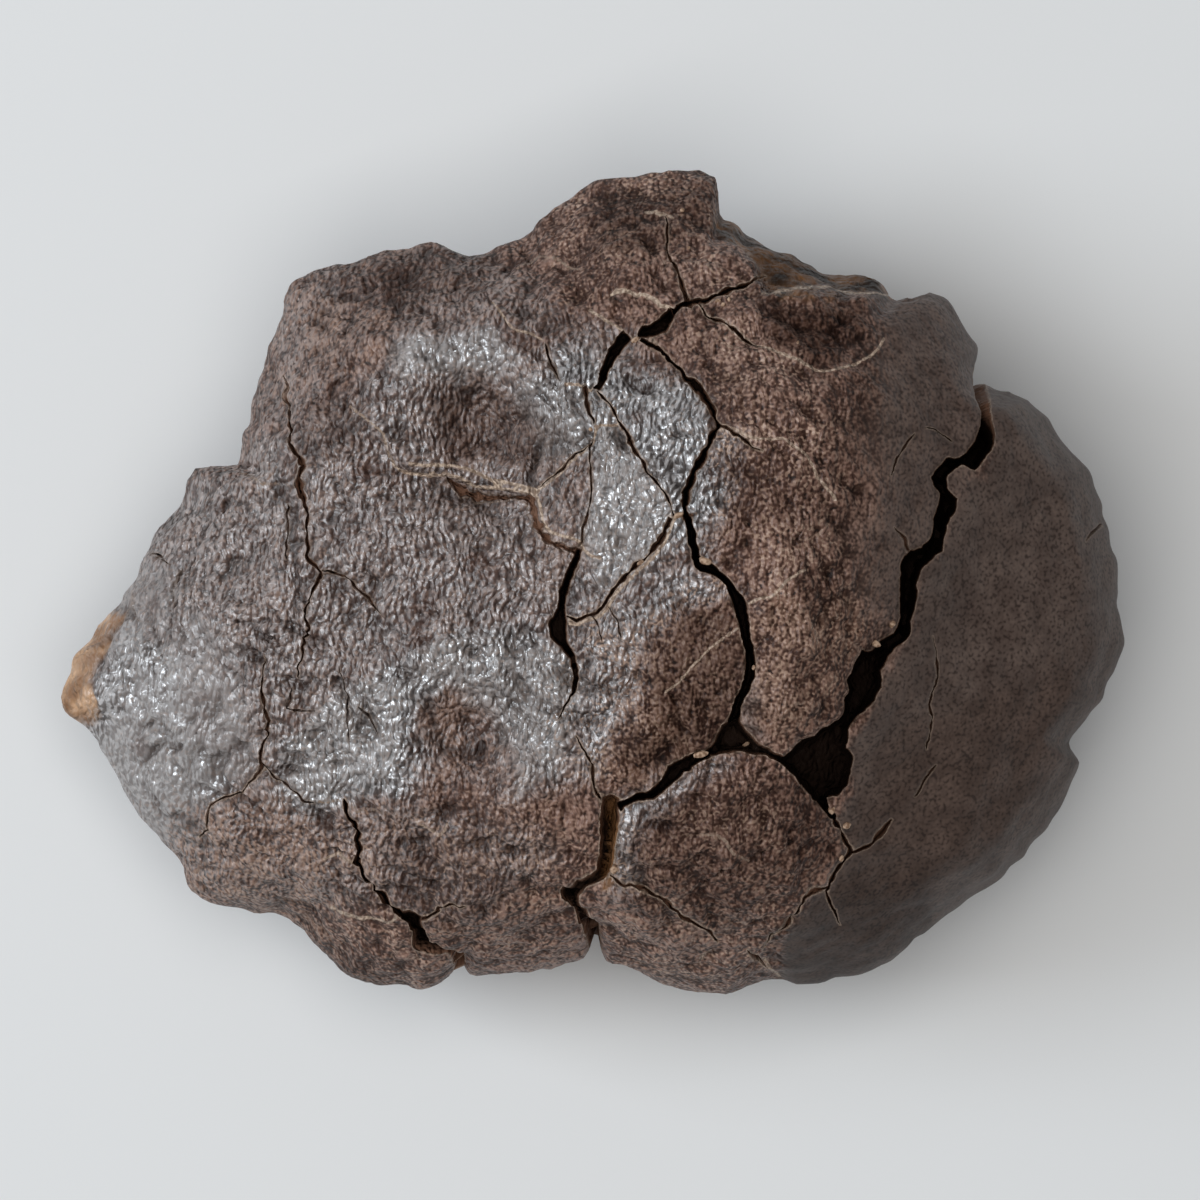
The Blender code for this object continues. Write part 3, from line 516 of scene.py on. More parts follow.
# Where the crust has which look, as loops of photo pixels that run on beyond the silhouette where the look
# goes down the side: softness of the edge in mm, loops with a strength
zones = {
    "sheen": (4.0, [
        (1.0, [(262, 800), (290, 730), (350, 680), (420, 636), (520, 626), (578, 650), (580, 720),
               (556, 785), (505, 795), (490, 710), (450, 690), (425, 730), (420, 792), (340, 806)]),
        (1.0, [(520, 372), (560, 350), (600, 352), (690, 392), (716, 430), (720, 500), (705, 560),
               (684, 540), (660, 560), (604, 600), (585, 560), (585, 470), (536, 470), (526, 420)]),
        (1.0, [(385, 345), (420, 328), (500, 332), (520, 356), (500, 378), (440, 370), (400, 380)]),
        (1.0, [(60, 760), (100, 690), (110, 620), (180, 640), (190, 720), (240, 780), (170, 840)]),
        (0.5, [(170, 470), (240, 478), (262, 440), (300, 425), (345, 395), (372, 352), (420, 332),
               (480, 330), (540, 345), (590, 330), (640, 350), (690, 390), (716, 430), (700, 470),
               (700, 520), (668, 560), (640, 600), (600, 640), (590, 700), (560, 770), (500, 800),
               (430, 778), (380, 785), (320, 800), (265, 770), (215, 815), (130, 830), (60, 760),
               (100, 690), (90, 600), (120, 540)]),
        (0.3, [(250, 430), (270, 300), (330, 262), (450, 240), (560, 300), (600, 340), (540, 350),
               (420, 335), (372, 355), (300, 428)]),
        (0.7, [(585, 620), (640, 575), (690, 560), (735, 590), (700, 602), (650, 628), (638, 680),
               (612, 720), (600, 765), (570, 775), (572, 700)]),
        (0.4, [(200, 900), (150, 830), (215, 815), (265, 775), (330, 800), (400, 795), (520, 810),
               (560, 860), (480, 920), (330, 900)]),
        (0.7, [(610, 800), (632, 790), (668, 770), (700, 752), (720, 752), (700, 772), (660, 800),
               (640, 840), (632, 880), (612, 880)]),
        (0.6, [(718, 430), (742, 440), (720, 500), (712, 560), (684, 540), (688, 490)]),
    ]),
    "worn": (4.0, [
        (1.0, [(30, 740), (60, 720), (100, 735), (120, 690), (150, 640), (200, 620), (235, 660), (250, 720),
               (255, 775), (215, 800), (190, 840), (140, 860), (60, 820)]),
        (0.6, [(100, 620), (120, 560), (180, 560), (200, 600), (150, 640), (110, 680)]),
        (0.6, [(392, 345), (430, 330), (500, 336), (515, 356), (500, 374), (440, 368)]),
    ]),
    # pale crust, and painted highlight on slopes that face the window
    "paleAndHighlight": (1.6, [
        (1.0, [(598, 398), (630, 440), (660, 490), (668, 518), (640, 560), (604, 600), (585, 560),
               (594, 500), (596, 450)]),
        (0.9, [(385, 345), (420, 332), (500, 336), (515, 356), (500, 374), (440, 368), (400, 378)]),
        (0.7, [(520, 372), (560, 372), (590, 400), (590, 440), (560, 462), (536, 470), (528, 420)]),
        (0.5, [(740, 664), (764, 690), (764, 738), (744, 730), (738, 708), (750, 690)]),
        (0.85, [(285, 780), (310, 715), (370, 675), (410, 690), (400, 770), (330, 795)]),
        (0.85, [(390, 680), (440, 645), (540, 640), (580, 690), (570, 765), (520, 790), (500, 720),
                (455, 690)]),
    ]),
    "block": (7.0, [
        (0.9, [(868, 330), (885, 280), (925, 230), (1040, 300), (1010, 360), (1000, 440),
               (975, 480), (970, 530), (935, 570), (925, 600), (905, 660),
               (880, 650), (868, 600), (856, 540), (872, 480), (858, 420), (872, 360)]),
    ]),
    "slate": (1.6, [
        (1.0, [(984, 340), (1300, 150), (1400, 700), (1100, 1300), (750, 1300), (772, 985), (800, 905),
               (826, 888), (838, 850), (836, 818), (850, 778), (848, 740), (880, 680), (912, 620),
               (918, 575), (945, 530), (950, 500), (945, 478), (975, 470), (990, 440)]),
    ]),
    "warm": (3.5, [
        (0.9, [(445, 690), (500, 700), (520, 740), (560, 790), (500, 830), (440, 800), (430, 740)]),
        (0.8, [(310, 300), (400, 290), (410, 350), (360, 390), (310, 370)]),
        (1.0, [(600, 780), (600, 720), (660, 690), (720, 700), (715, 745), (660, 770), (620, 800)]),
        (0.8, [(760, 600), (860, 600), (850, 690), (780, 740), (752, 690)]),
        (0.6, [(540, 480), (580, 470), (590, 560), (540, 560)]),
        (0.6, [(210, 830), (300, 800), (420, 810), (560, 820), (560, 900), (400, 980), (220, 900)]),
        (0.8, [(900, 720), (1300, 600), (1200, 900), (860, 1200), (780, 1000), (840, 870)]),
    ]),
    # dust, and painted light on slopes that face the window
    "dustAndLitSlope": (4.0, [
        (1.0, [(755, 610), (850, 600), (850, 680), (790, 735), (752, 700)]),
        (1.0, [(170, 810), (290, 790), (340, 860), (330, 950), (300, 980), (180, 940)]),
        (0.7, [(600, 640), (690, 590), (740, 660), (720, 730), (640, 770), (600, 740)]),
        (0.4, [(430, 800), (560, 810), (560, 860), (430, 870)]),
        (0.6, [(640, 900), (720, 930), (720, 1040), (620, 1020)]),
        (0.4, [(260, 290), (320, 240), (330, 360), (270, 410)]),
        (0.5, [(700, 330), (760, 380), (760, 430), (710, 420)]),
        (0.5, [(600, 200), (650, 200), (640, 260), (590, 260)]),
    ]),
    # darker crust, and painted shade where the surface turns away from the window
    "darkAndShade": (3.0, [
        (1.0, [(764, 296), (860, 303), (856, 350), (820, 372), (776, 350)]),
        (0.8, [(750, 246), (800, 252), (874, 276), (872, 296), (800, 288), (758, 278)]),
        (0.5, [(840, 370), (876, 350), (866, 420), (840, 460), (820, 420)]),
        (0.4, [(700, 470), (740, 450), (800, 470), (860, 500), (850, 560), (780, 540), (720, 520)]),
        (0.7, [(230, 960), (300, 940), (360, 960), (400, 1010), (300, 1040), (220, 1010)]),
        (0.7, [(600, 190), (712, 180), (712, 222), (660, 260), (600, 250)]),
        (0.6, [(625, 850), (650, 800), (720, 775), (830, 790), (835, 860), (780, 900), (700, 930),
               (630, 900)]),
        (0.6, [(436, 392), (480, 380), (540, 400), (566, 430), (560, 478), (500, 466), (450, 455)]),
        (0.8, [(652, 640), (690, 612), (735, 610), (750, 650), (738, 705), (690, 765), (640, 775),
               (622, 740), (650, 700)]),
        (0.5, [(340, 300), (350, 262), (420, 245), (500, 262), (480, 296), (400, 308)]),
        (0.5, [(300, 470), (310, 410), (345, 385), (372, 400), (360, 440), (330, 470)]),
        (0.4, [(770, 480), (860, 430), (850, 560), (872, 640), (820, 725), (770, 740), (800, 640)]),
        (0.4, [(400, 840), (480, 830), (520, 900), (440, 930), (400, 900)]),
        (0.5, [(750, 920), (810, 895), (930, 860), (930, 930), (800, 1000), (750, 960)]),
    ]),
    "rust": (0.8, [
        (1.0, [(716, 218), (745, 200), (800, 215), (905, 250), (897, 300), (876, 299), (846, 297),
               (810, 292), (770, 292), (760, 272), (750, 256), (738, 248), (728, 238)]),
        (1.0, [(606, 800), (622, 794), (621, 840), (612, 880), (600, 884), (604, 850)]),
    ]),
    "tip": (0.8, [
        (1.0, [(20, 690), (50, 640), (72, 650), (100, 622), (112, 614), (119, 620), (108, 640),
               (101, 662), (99, 690), (94, 712), (82, 722), (50, 740)]),
    ]),
    "speckled": (4.0, [
        (1.0, [(690, 320), (760, 320), (830, 400), (845, 520), (870, 620), (840, 700), (780, 745),
               (740, 640), (700, 560), (700, 470), (730, 430), (690, 360)]),
        (0.9, [(560, 640), (640, 600), (700, 580), (745, 650), (720, 740), (640, 780), (580, 780),
               (550, 720)]),
        (0.6, [(130, 840), (300, 810), (420, 800), (560, 810), (590, 860), (560, 1000), (400, 1050),
               (300, 940), (160, 900)]),
        (0.8, [(620, 810), (760, 760), (830, 830), (800, 900), (740, 1020), (620, 1000), (590, 900)]),
        (0.8, [(540, 200), (620, 140), (720, 150), (760, 290), (700, 300), (640, 290), (560, 300)]),
    ]),
}


def pathPoints(places, step, wander, seed):
    # a course through the places, with points every step and small natural kinks
    x, y = plan([p[0] for p in places], [p[1] for p in places])
    width = np.array([p[2] if len(p) > 2 else 0.0 for p in places]) * pixel
    started = np.concatenate([[0.0], np.cumsum(np.hypot(np.diff(x), np.diff(y)))])
    count = max(int(started[-1] / step), 2) + 1
    stops = np.linspace(0.0, started[-1], count)
    x, y, width = (np.interp(stops, started, v) for v in (x, y, width))
    for i in range(count):
        spot = Vector((x[i], y[i], seed * 0.01))
        kink = noise.noise_vector(spot / (1.1 * mm)) * 0.6 + noise.noise_vector(spot / (0.45 * mm)) * 0.4
        x[i] += kink.x * wander
        y[i] += kink.y * wander
    return x, y, width


crackBuild = dict(
    step=0.28 * mm,       # spacing of points along a lip
    wander=0.26 * mm,     # how far a lip strays from its surveyed course
    widthPlay=0.55,       # how much a narrow crack's width varies
)


def gapLoop(places, seed):
    x, y, _ = pathPoints(places + places[:1], crackBuild["step"], crackBuild["wander"], seed)
    return x[:-1], y[:-1]


def crackLoop(places, seed):
    # both lips of a narrow crack, and its middle
    x, y, width = pathPoints(places, crackBuild["step"], crackBuild["wander"], seed)
    courseX, courseY = np.gradient(x), np.gradient(y)
    run = np.hypot(courseX, courseY)
    play = np.array([noise.noise(Vector((a, b, seed * 0.013)) / (0.9 * mm)) for a, b in zip(x, y)])
    half = np.maximum(width * (1 + crackBuild["widthPlay"] * 2 * play), 0.06 * mm) / 2
    asideX, asideY = -courseY / run * half, courseX / run * half
    loopX = np.concatenate([x + asideX, (x - asideX)[::-1]])
    loopY = np.concatenate([y + asideY, (y - asideY)[::-1]])
    return (loopX, loopY), (x, y)


def inLoop(x, y, loopX, loopY):
    inside = np.zeros(np.shape(x), bool)
    for ax, ay, bx, by in zip(loopX, loopY, np.roll(loopX, -1), np.roll(loopY, -1)):
        if ay != by:
            inside ^= ((ay > y) != (by > y)) & (x < (bx - ax) * (y - ay) / (by - ay) + ax)
    return inside


def toLine(x, y, lineX, lineY, closed):
    # metres to a fine polyline
    best = np.full(np.shape(x), 1.0)
    endX, endY = (np.roll(v, -1) if closed else v[1:] for v in (lineX, lineY))
    for ax, ay, bx, by in zip(lineX, lineY, endX, endY):
        runX, runY = bx - ax, by - ay
        part = np.clip(((x - ax) * runX + (y - ay) * runY) / (runX ** 2 + runY ** 2 + 1e-18), 0.0, 1.0)
        best = np.minimum(best, np.hypot(x - ax - runX * part, y - ay - runY * part))
    return best


# Every crack as a loop of fine points, with what it needs to know about itself
openings = []
for number, (name, (depth, wall, limeAndLitLip, loop)) in enumerate(gaps.items()):
    loopX, loopY = gapLoop(loop, number)
    openings.append(dict(name=name, depth=depth * mm, wall=wall * mm, limeAndLitLip=limeAndLitLip, loop=(loopX, loopY),
                         middle=None))
for number, (name, (depth, limeAndLitLip, places)) in enumerate(cracks.items()):
    loop, middle = crackLoop(places, number + 40)
    widest = max(place[2] for place in places) * pixel
    openings.append(dict(name=name, depth=depth * mm, wall=min(0.4 * widest, 0.2 * mm), limeAndLitLip=limeAndLitLip,
                         loop=loop, middle=middle))
veinLines = {}
for number, (name, (width, cover, places)) in enumerate(veins.items()):
    x, y, _ = pathPoints(places, 0.3 * mm, 0.12 * mm, number + 200)
    veinLines[name] = (x, y)
print("survey:", len(silhouette), "silhouette points,", len(openings), "cracks,", len(veins), "veins")


meshSpacing = dict(
    top=0.38 * mm,        # between points on the upper side
    side=0.5 * mm,        # between points on the rim and the sides
    under=0.95 * mm,      # between points on the underside
    clear=0.24 * mm,      # no ordinary point so close to a crack's or vein's point
    ringShare=0.86,       # rings of points take over from the grid here, on the way out to the rim
    seed=11,
)
restPhi = math.radians(166)   # the mesh is closed by one flat face from here on


def toBall(x, y):
    # a surveyed place as direction and polar angle; outside the silhouette it lies on the side
    angle = np.arctan2(y - hubY, x - hubX)
    span = np.hypot(x - hubX, y - hubY)
    over = span - reach(angle)
    inner = np.arcsin(np.clip(shareOf(span, angle), 0.0, 1.0))
    return angle, np.where(over > 0, math.pi / 2 + over / survey["overRim"], inner)


def toSheet(angle, phi):
    # the ball opened out on a plane around its top, shapes kept
    radius = 2.0 * np.tan(phi / 2)
    return radius * np.cos(angle), radius * np.sin(angle)


def toSurvey(angle, phi):
    # where a point of the ball lies in the survey, beyond the silhouette for the sides
    share = np.sin(phi)
    span = np.where(phi > math.pi / 2, reach(angle) + (phi - math.pi / 2) * survey["overRim"],
                    spanOf(share, angle))
    return hubX + span * np.cos(angle), hubY + span * np.sin(angle)


def gridPoints(draw):
    # hexagonal grid over the middle of the top, jittered
    step = meshSpacing["top"]
    rows = np.arange(-45 * mm, 45 * mm, step * 0.866)
    columns = np.arange(-58 * mm, 58 * mm, step)
    x, y = np.meshgrid(columns, rows)
    x = x + (np.arange(len(rows)) % 2 * step / 2)[:, None]
    x = (x + draw.uniform(-0.22, 0.22, x.shape) * step).ravel()
    y = (y + draw.uniform(-0.22, 0.22, y.shape) * step).ravel()
    angle = np.arctan2(y - hubY, x - hubX)
    share = np.hypot(x - hubX, y - hubY) / reach(angle)
    keep = share < meshSpacing["ringShare"] + 0.05
    angle, phi = toBall(x[keep], y[keep])
    keep = np.sin(phi) < meshSpacing["ringShare"]
    return angle[keep], phi[keep]


def ringPoints(draw):
    # rings around the rim, the sides and the underside
    angles = np.linspace(-math.pi, math.pi, 2000)
    runs = np.concatenate([[0.0], np.cumsum(calmReach(angles[:-1]) * np.diff(angles))])
    rings = []
    phi = math.asin(meshSpacing["ringShare"]) + 0.006
    while phi < restPhi - 0.03:
        down = smooth((phi - 1.75) / 0.5)
        step = meshSpacing["side"] * (1 - down) + meshSpacing["under"] * down
        if phi < 1.3:
            step = meshSpacing["top"]
        count = int(runs[-1] * math.sin(phi) / step)
        where = (np.arange(count) + draw.uniform(0, 1)) % count + draw.uniform(-0.25, 0.25, count)
        angle = np.interp(where / count * runs[-1] % runs[-1], runs, angles)
        rings.append((angle, phi + draw.uniform(-0.2, 0.2, count) * step / (30 * mm)))
        phi += step * 0.9 / (30 * mm)      # the rim and the sides run down about 30 mm per radian
    return np.concatenate([r[0] for r in rings]), np.concatenate([r[1] for r in rings])


def innerPoints(loopX, loopY, inset):
    # points just inside a gap, so that no triangle spans it from lip to lip
    courseX = np.roll(loopX, -1) - np.roll(loopX, 1)
    courseY = np.roll(loopY, -1) - np.roll(loopY, 1)
    turn = np.sign(np.sum(loopX * np.roll(loopY, -1) - loopY * np.roll(loopX, -1)))
    run = np.hypot(courseX, courseY)
    x, y = loopX - turn * courseY / run * inset, loopY + turn * courseX / run * inset
    keep = inLoop(x, y, loopX, loopY) & (toLine(x, y, loopX, loopY, True) > 0.75 * inset)
    return x[keep], y[keep]


def layPoints():
    # all points of the mesh on the opened sheet, and the lines that its triangles keep to
    draw = np.random.default_rng(meshSpacing["seed"])
    lineX, lineY, edges = [], [], []
    total = 0

    def addLine(x, y, closed):
        nonlocal total
        count = len(x)
        edges.extend((total + i, total + i + 1) for i in range(count - 1))
        if closed:
            edges.append((total + count - 1, total))
        lineX.append(x)
        lineY.append(y)
        total += count

    for opening in openings:
        addLine(*opening["loop"], True)
        if opening["middle"] is not None:
            addLine(*opening["middle"], False)
    for x, y in veinLines.values():
        addLine(x, y, False)
    for opening in openings:
        if opening["middle"] is None:
            for inset in (0.17 * mm, 0.42 * mm):
                x, y = innerPoints(*opening["loop"], inset)
                lineX.append(x)
                lineY.append(y)
    lineX, lineY = np.concatenate(lineX), np.concatenate(lineY)
    lineAngle, linePhi = toBall(lineX, lineY)
    gridAngle, gridPhi = gridPoints(draw)
    ringAngle, ringPhi = ringPoints(draw)
    angle, phi = np.concatenate([gridAngle, ringAngle]), np.concatenate([gridPhi, ringPhi])
    tree = kdtree.KDTree(len(lineX))
    for i, spot in enumerate(zip(lineX.tolist(), lineY.tolist())):
        tree.insert((*spot, 0.0), i)
    tree.balance()
    placeX, placeY = toSurvey(angle, phi)
    keep = np.array([tree.find((a, b, 0.0))[2] > meshSpacing["clear"]
                     for a, b in zip(placeX.tolist(), placeY.tolist())])
    close = np.linspace(0, 2 * math.pi, 97)[:-1]
    angle = np.concatenate([lineAngle, angle[keep], close])
    phi = np.concatenate([linePhi, phi[keep], np.full(len(close), restPhi)])
    sheetX, sheetY = toSheet(angle, phi)
    return sheetX, sheetY, edges


shoulders = dict(drop=0.42 * mm, reach=0.8 * mm)   # the crust rounds down to a crack's lip


def openingDepths(x, y):
    # how deep each point lies in a crack, how far it is from the nearest lip, and the lime and painted highlight
    # there
    depth = np.zeros(len(x))
    lip = np.full(len(x), 5 * mm)
    limeAndLitLip = np.zeros(len(x))
    size = np.zeros(len(x))
    for opening in openings:
        loopX, loopY = opening["loop"]
        near = np.flatnonzero((x > loopX.min() - 2 * mm) & (x < loopX.max() + 2 * mm)
                              & (y > loopY.min() - 2 * mm) & (y < loopY.max() + 2 * mm))
        away = toLine(x[near], y[near], loopX, loopY, True)
        inside = inLoop(x[near], y[near], loopX, loopY)
        drop = opening["depth"] * np.clip(away / opening["wall"], 0.0, 1.0) ** 0.8
        depth[near] = np.maximum(depth[near], np.where(inside, drop, 0.0))
        closer = away < np.abs(lip[near])
        limeAndLitLip[near] = np.where(closer, opening["limeAndLitLip"], limeAndLitLip[near])
        size[near] = np.where(closer, min(1.0, opening["depth"] / (4 * mm)), size[near])
        lip[near] = np.where(closer, away, lip[near])
    shoulder = shoulders["drop"] * size * np.where(depth > 0.0, 1.0, np.exp(-lip / shoulders["reach"]))
    return depth + shoulder, lip, limeAndLitLip


def veinCover(x, y):
    # metres outside the nearest vein's edge, and how thickly its lime covers
    outside = np.full(len(x), 5 * mm)
    cover = np.zeros(len(x))
    for name, (width, thick, _) in veins.items():
        lineX, lineY = veinLines[name]
        near = np.flatnonzero((x > lineX.min() - 2 * mm) & (x < lineX.max() + 2 * mm)
                              & (y > lineY.min() - 2 * mm) & (y < lineY.max() + 2 * mm))
        away = toLine(x[near], y[near], lineX, lineY, False) - width * pixel / 2
        closer = away < outside[near]
        cover[near] = np.where(closer, thick, cover[near])
        outside[near] = np.where(closer, away, outside[near])
    return outside, cover


def grooveDepth(x, y):
    total = np.zeros(len(x))
    for depth, places in grooves:
        span, along = besidePath(x, y, [p[:2] for p in places])
        width = np.interp(along, np.linspace(0, 1, len(places)), [p[2] * pixel / 2 for p in places])
        ends = smooth(along / 0.1) * smooth((1 - along) / 0.1)
        total += depth * mm * ends * np.exp(-(span / width) ** 2)
    for px, py, halfWide, halfHigh, depth in dents:
        spotX, spotY = plan(px, py)
        off = ((x - spotX) / (halfWide * pixel)) ** 2 + ((y - spotY) / (halfHigh * pixel)) ** 2
        total += depth * mm * np.exp(-off)
    return total


def baseRelief(place, below):
    # the same lumps, knobs and thumbprints as the solid has, metres
    broad = noise.fractal(place / stoneForm["broadSize"], 1.0, 2.0, 3)
    knobs = noise.noise(place / stoneForm["knobSize"] + Vector((7.3, 1.9, 4.1)))
    relief = stoneForm["broadHeight"] * broad + stoneForm["knobHeight"] * knobs
    if below > 0.0:
        faces = noise.noise(place / stoneForm["faceSize"] + Vector((2.2, 5.1, 8.7)))
        nearest = noise.voronoi(place / stoneForm["thumbSize"])[0][0]
        thumb = max(0.0, 1.0 - nearest / 0.5)
        relief += below * (1.5 * min(faces - 0.1, 0.1) * 2.0 - 1.1 * thumb * thumb)
    return relief * mm


def zoneMask(x, y, soft, loops):
    total = np.zeros(len(x))
    for strength, loop in loops:
        loopX, loopY = plan([p[0] for p in loop], [p[1] for p in loop])
        away = toLine(x, y, loopX, loopY, True)
        away = np.where(inLoop(x, y, loopX, loopY), away, -away)
        total = np.maximum(total, strength * smooth(0.5 + away / (soft * mm)))
    return total


def strayed(x, y):
    # places moved about a little, so that no zone ends along a clean line
    moved = np.empty((len(x), 2))
    for i, spot in enumerate(zip(x.tolist(), y.tolist())):
        spot = Vector((*spot, 0.003))
        push = noise.noise_vector(spot / (4.5 * mm)) * 1.6 + noise.noise_vector(spot / (1.2 * mm)) * 0.6
        moved[i] = push[:2]
    return x + moved[:, 0] * mm, y + moved[:, 1] * mm


crustRelief = dict(
    lumpSize=6.5 * mm, lumpHeight=1.2,
    knobSize=2.6 * mm, knobHeight=0.70,
    wrinkleSize=1.15 * mm, wrinkleHeight=0.34,
    creaseTurn=0.9, creaseAcross=1.25 * mm, creaseAlong=4.6 * mm, creaseDepth=0.75,
    onSlate=0.20, onSlateSide=0.55,     # share of all this on the smooth slab, on top and down its side
    onRim=0.45,                # and along the silhouette
    bend=0.50 * mm,            # how far the paint's fine chips are pushed about
)


def crustHeight(place, sheen):
    # rounded lumps and knobs with sharp valleys between them, and creases that all run one way, mm
    lump = abs(noise.noise(place / crustRelief["lumpSize"] + Vector((3.1, 0.7, 5.2))))
    knob = abs(noise.noise(place / crustRelief["knobSize"] + Vector((1.3, 4.9, 2.2))))
    wrinkle = noise.noise(place / crustRelief["wrinkleSize"] + Vector((0.4, 2.6, 7.7)))
    turn = crustRelief["creaseTurn"] + 0.8 * noise.noise(place / (14 * mm))
    across = place.x * math.cos(turn) + place.y * math.sin(turn)
    along = place.y * math.cos(turn) - place.x * math.sin(turn)
    crease = noise.noise(Vector((across / crustRelief["creaseAcross"], along / crustRelief["creaseAlong"],
                                 place.z / crustRelief["creaseAlong"])))
    crease = max(0.0, crease - 0.08) * (0.4 + 0.6 * sheen)
    return (crustRelief["lumpHeight"] * (min(lump, 0.35) - 0.2) + crustRelief["knobHeight"] * (min(knob, 0.4) - 0.2)
            + crustRelief["wrinkleHeight"] * wrinkle - crustRelief["creaseDepth"] * 2.0 * crease)


def layered(place, size, octaves, rough):
    # noise from 0 to 1 with finer layers on top
    total, most, weight = 0.0, 0.0, 1.0
    for octave in range(octaves):
        total += weight * noise.noise(place * (2 ** octave / size), noise_basis="PERLIN_NEW")
        most += weight
        weight *= rough
    return 0.5 + 0.5 * total / most


def shapeStone():
    sheetX, sheetY, edges = layPoints()
    verts = [Vector(p) for p in zip(sheetX.tolist(), sheetY.tolist())]
    made = delaunay_2d_cdt(verts, edges, [], 0, 1e-7, False)
    sheet = np.array([v[:] for v in made[0]])
    faces = made[2]
    print("sheet:", len(sheet), "points,", len(faces), "triangles")
    angle = np.arctan2(sheet[:, 1], sheet[:, 0])
    phi = 2.0 * np.arctan(np.hypot(sheet[:, 0], sheet[:, 1]) / 2)
    upper = phi <= math.pi / 2
    share = np.sin(phi)
    span = spanOf(share, angle)
    x, y = hubX + span * np.cos(angle), hubY + span * np.sin(angle)
    surveyX, surveyY = toSurvey(angle, phi)
    low, outwards = lowerHeight(x, y, angle)
    z = np.where(upper, upperHeight(x, y, angle, share), low)
    away = np.stack([share * np.cos(angle), share * np.sin(angle), np.cos(phi)], axis=1)
    free = np.where(upper, 1.0, smooth(outwards / 0.3))
    below = smooth((0.1 - np.cos(phi)) / 0.35)
    place = np.stack([x, y, z], axis=1)
    relief = np.array([baseRelief(Vector(p), b) for p, b in zip(place.tolist(), below.tolist())])
    strayX, strayY = strayed(surveyX, surveyY)
    masks = {name: zoneMask(strayX, strayY, soft, loops) for name, (soft, loops) in zones.items()}
    masks["slate"] = np.maximum(masks["slate"], masks.pop("block"))
    rough = np.array([crustHeight(Vector(p), s) for p, s in zip(place.tolist(), masks["sheen"].tolist())])
    # the relief's height, which the paint turns into painted shade in low places and painted light on high ones
    masks["rise"] = rough.copy()
    masks["blotch"] = np.array([layered(Vector(p), 3.2 * mm, 3, 0.65) for p in place.tolist()])
    masks["broad"] = np.array([layered(Vector(p), 9.0 * mm, 2, 0.55) for p in place.tolist()])
    bend = np.array([noise.noise_vector(Vector(p) / (2.6 * mm), noise_basis="PERLIN_NEW")[:] for p in place.tolist()])
    onSlate = np.interp(phi, (1.6, 2.1), (crustRelief["onSlate"], crustRelief["onSlateSide"]))
    rough *= (1.0 - (1.0 - onSlate) * masks["slate"]) * mm
    rough *= 1.0 - (1.0 - crustRelief["onRim"]) * np.exp(-((phi - math.pi / 2) / 0.35) ** 2)
    place += away * ((relief + rough) * free)[:, None]

    depth, lip, limeAndLitLip = openingDepths(surveyX, surveyY)
    tilt = np.where(upper, smooth((share - 0.85) / 0.15), 1.0)[:, None]
    inwards = (1 - tilt) * np.array([0.0, 0.0, 1.0]) + tilt * away
    inwards /= np.linalg.norm(inwards, axis=1)[:, None]
    place -= inwards * (depth + grooveDepth(surveyX, surveyY))[:, None]
    flat = ~upper & (outwards <= 0.0)
    place[:, 2] = np.where(upper, place[:, 2], np.maximum(place[:, 2], 0.0))
    place[flat, 2] = 0.0

    mesh = bpy.data.meshes.new("stone_crust")
    ring = np.flatnonzero(phi > restPhi - 1e-4)
    ring = ring[np.argsort(angle[ring])]
    mesh.from_pydata(place.tolist(), [], faces + [ring[::-1].tolist()])
    mesh.validate()
    crust = bpy.data.objects.new("stone_crust", mesh)
    bpy.context.scene.collection.objects.link(crust)
    outside, cover = veinCover(surveyX, surveyY)
    for name, values in (("crackDepth", depth / mm), ("lipDistance", lip / mm), ("lipLimeAndHighlight", limeAndLitLip),
                         ("veinDistance", outside / mm), ("veinCover", cover),
                         *masks.items()):
        mesh.attributes.new(name, "FLOAT", "POINT").data.foreach_set("value", values.astype(np.float32))
    mesh.attributes.new("bend", "FLOAT_VECTOR", "POINT").data.foreach_set(
        "vector", (bend * crustRelief["bend"]).astype(np.float32).ravel())
    mesh.shade_smooth()
    mesh.set_sharp_from_angle(angle=math.radians(55))
    return crust


crust = shapeStone()
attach(crust, "root")
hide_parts("stone")
print("stone:", len(crust.data.vertices), "points,", len(crust.data.polygons), "faces")

def addNode(tree, kind, settings=None, inputs=None):
    made = tree.nodes.new(kind)
    for name, value in (settings or {}).items():
        setattr(made, name, value)
    for name, value in (inputs or {}).items():
        if isinstance(value, bpy.types.NodeSocket):
            tree.links.new(value, made.inputs[name])
        else:
            made.inputs[name].default_value = value
    return made


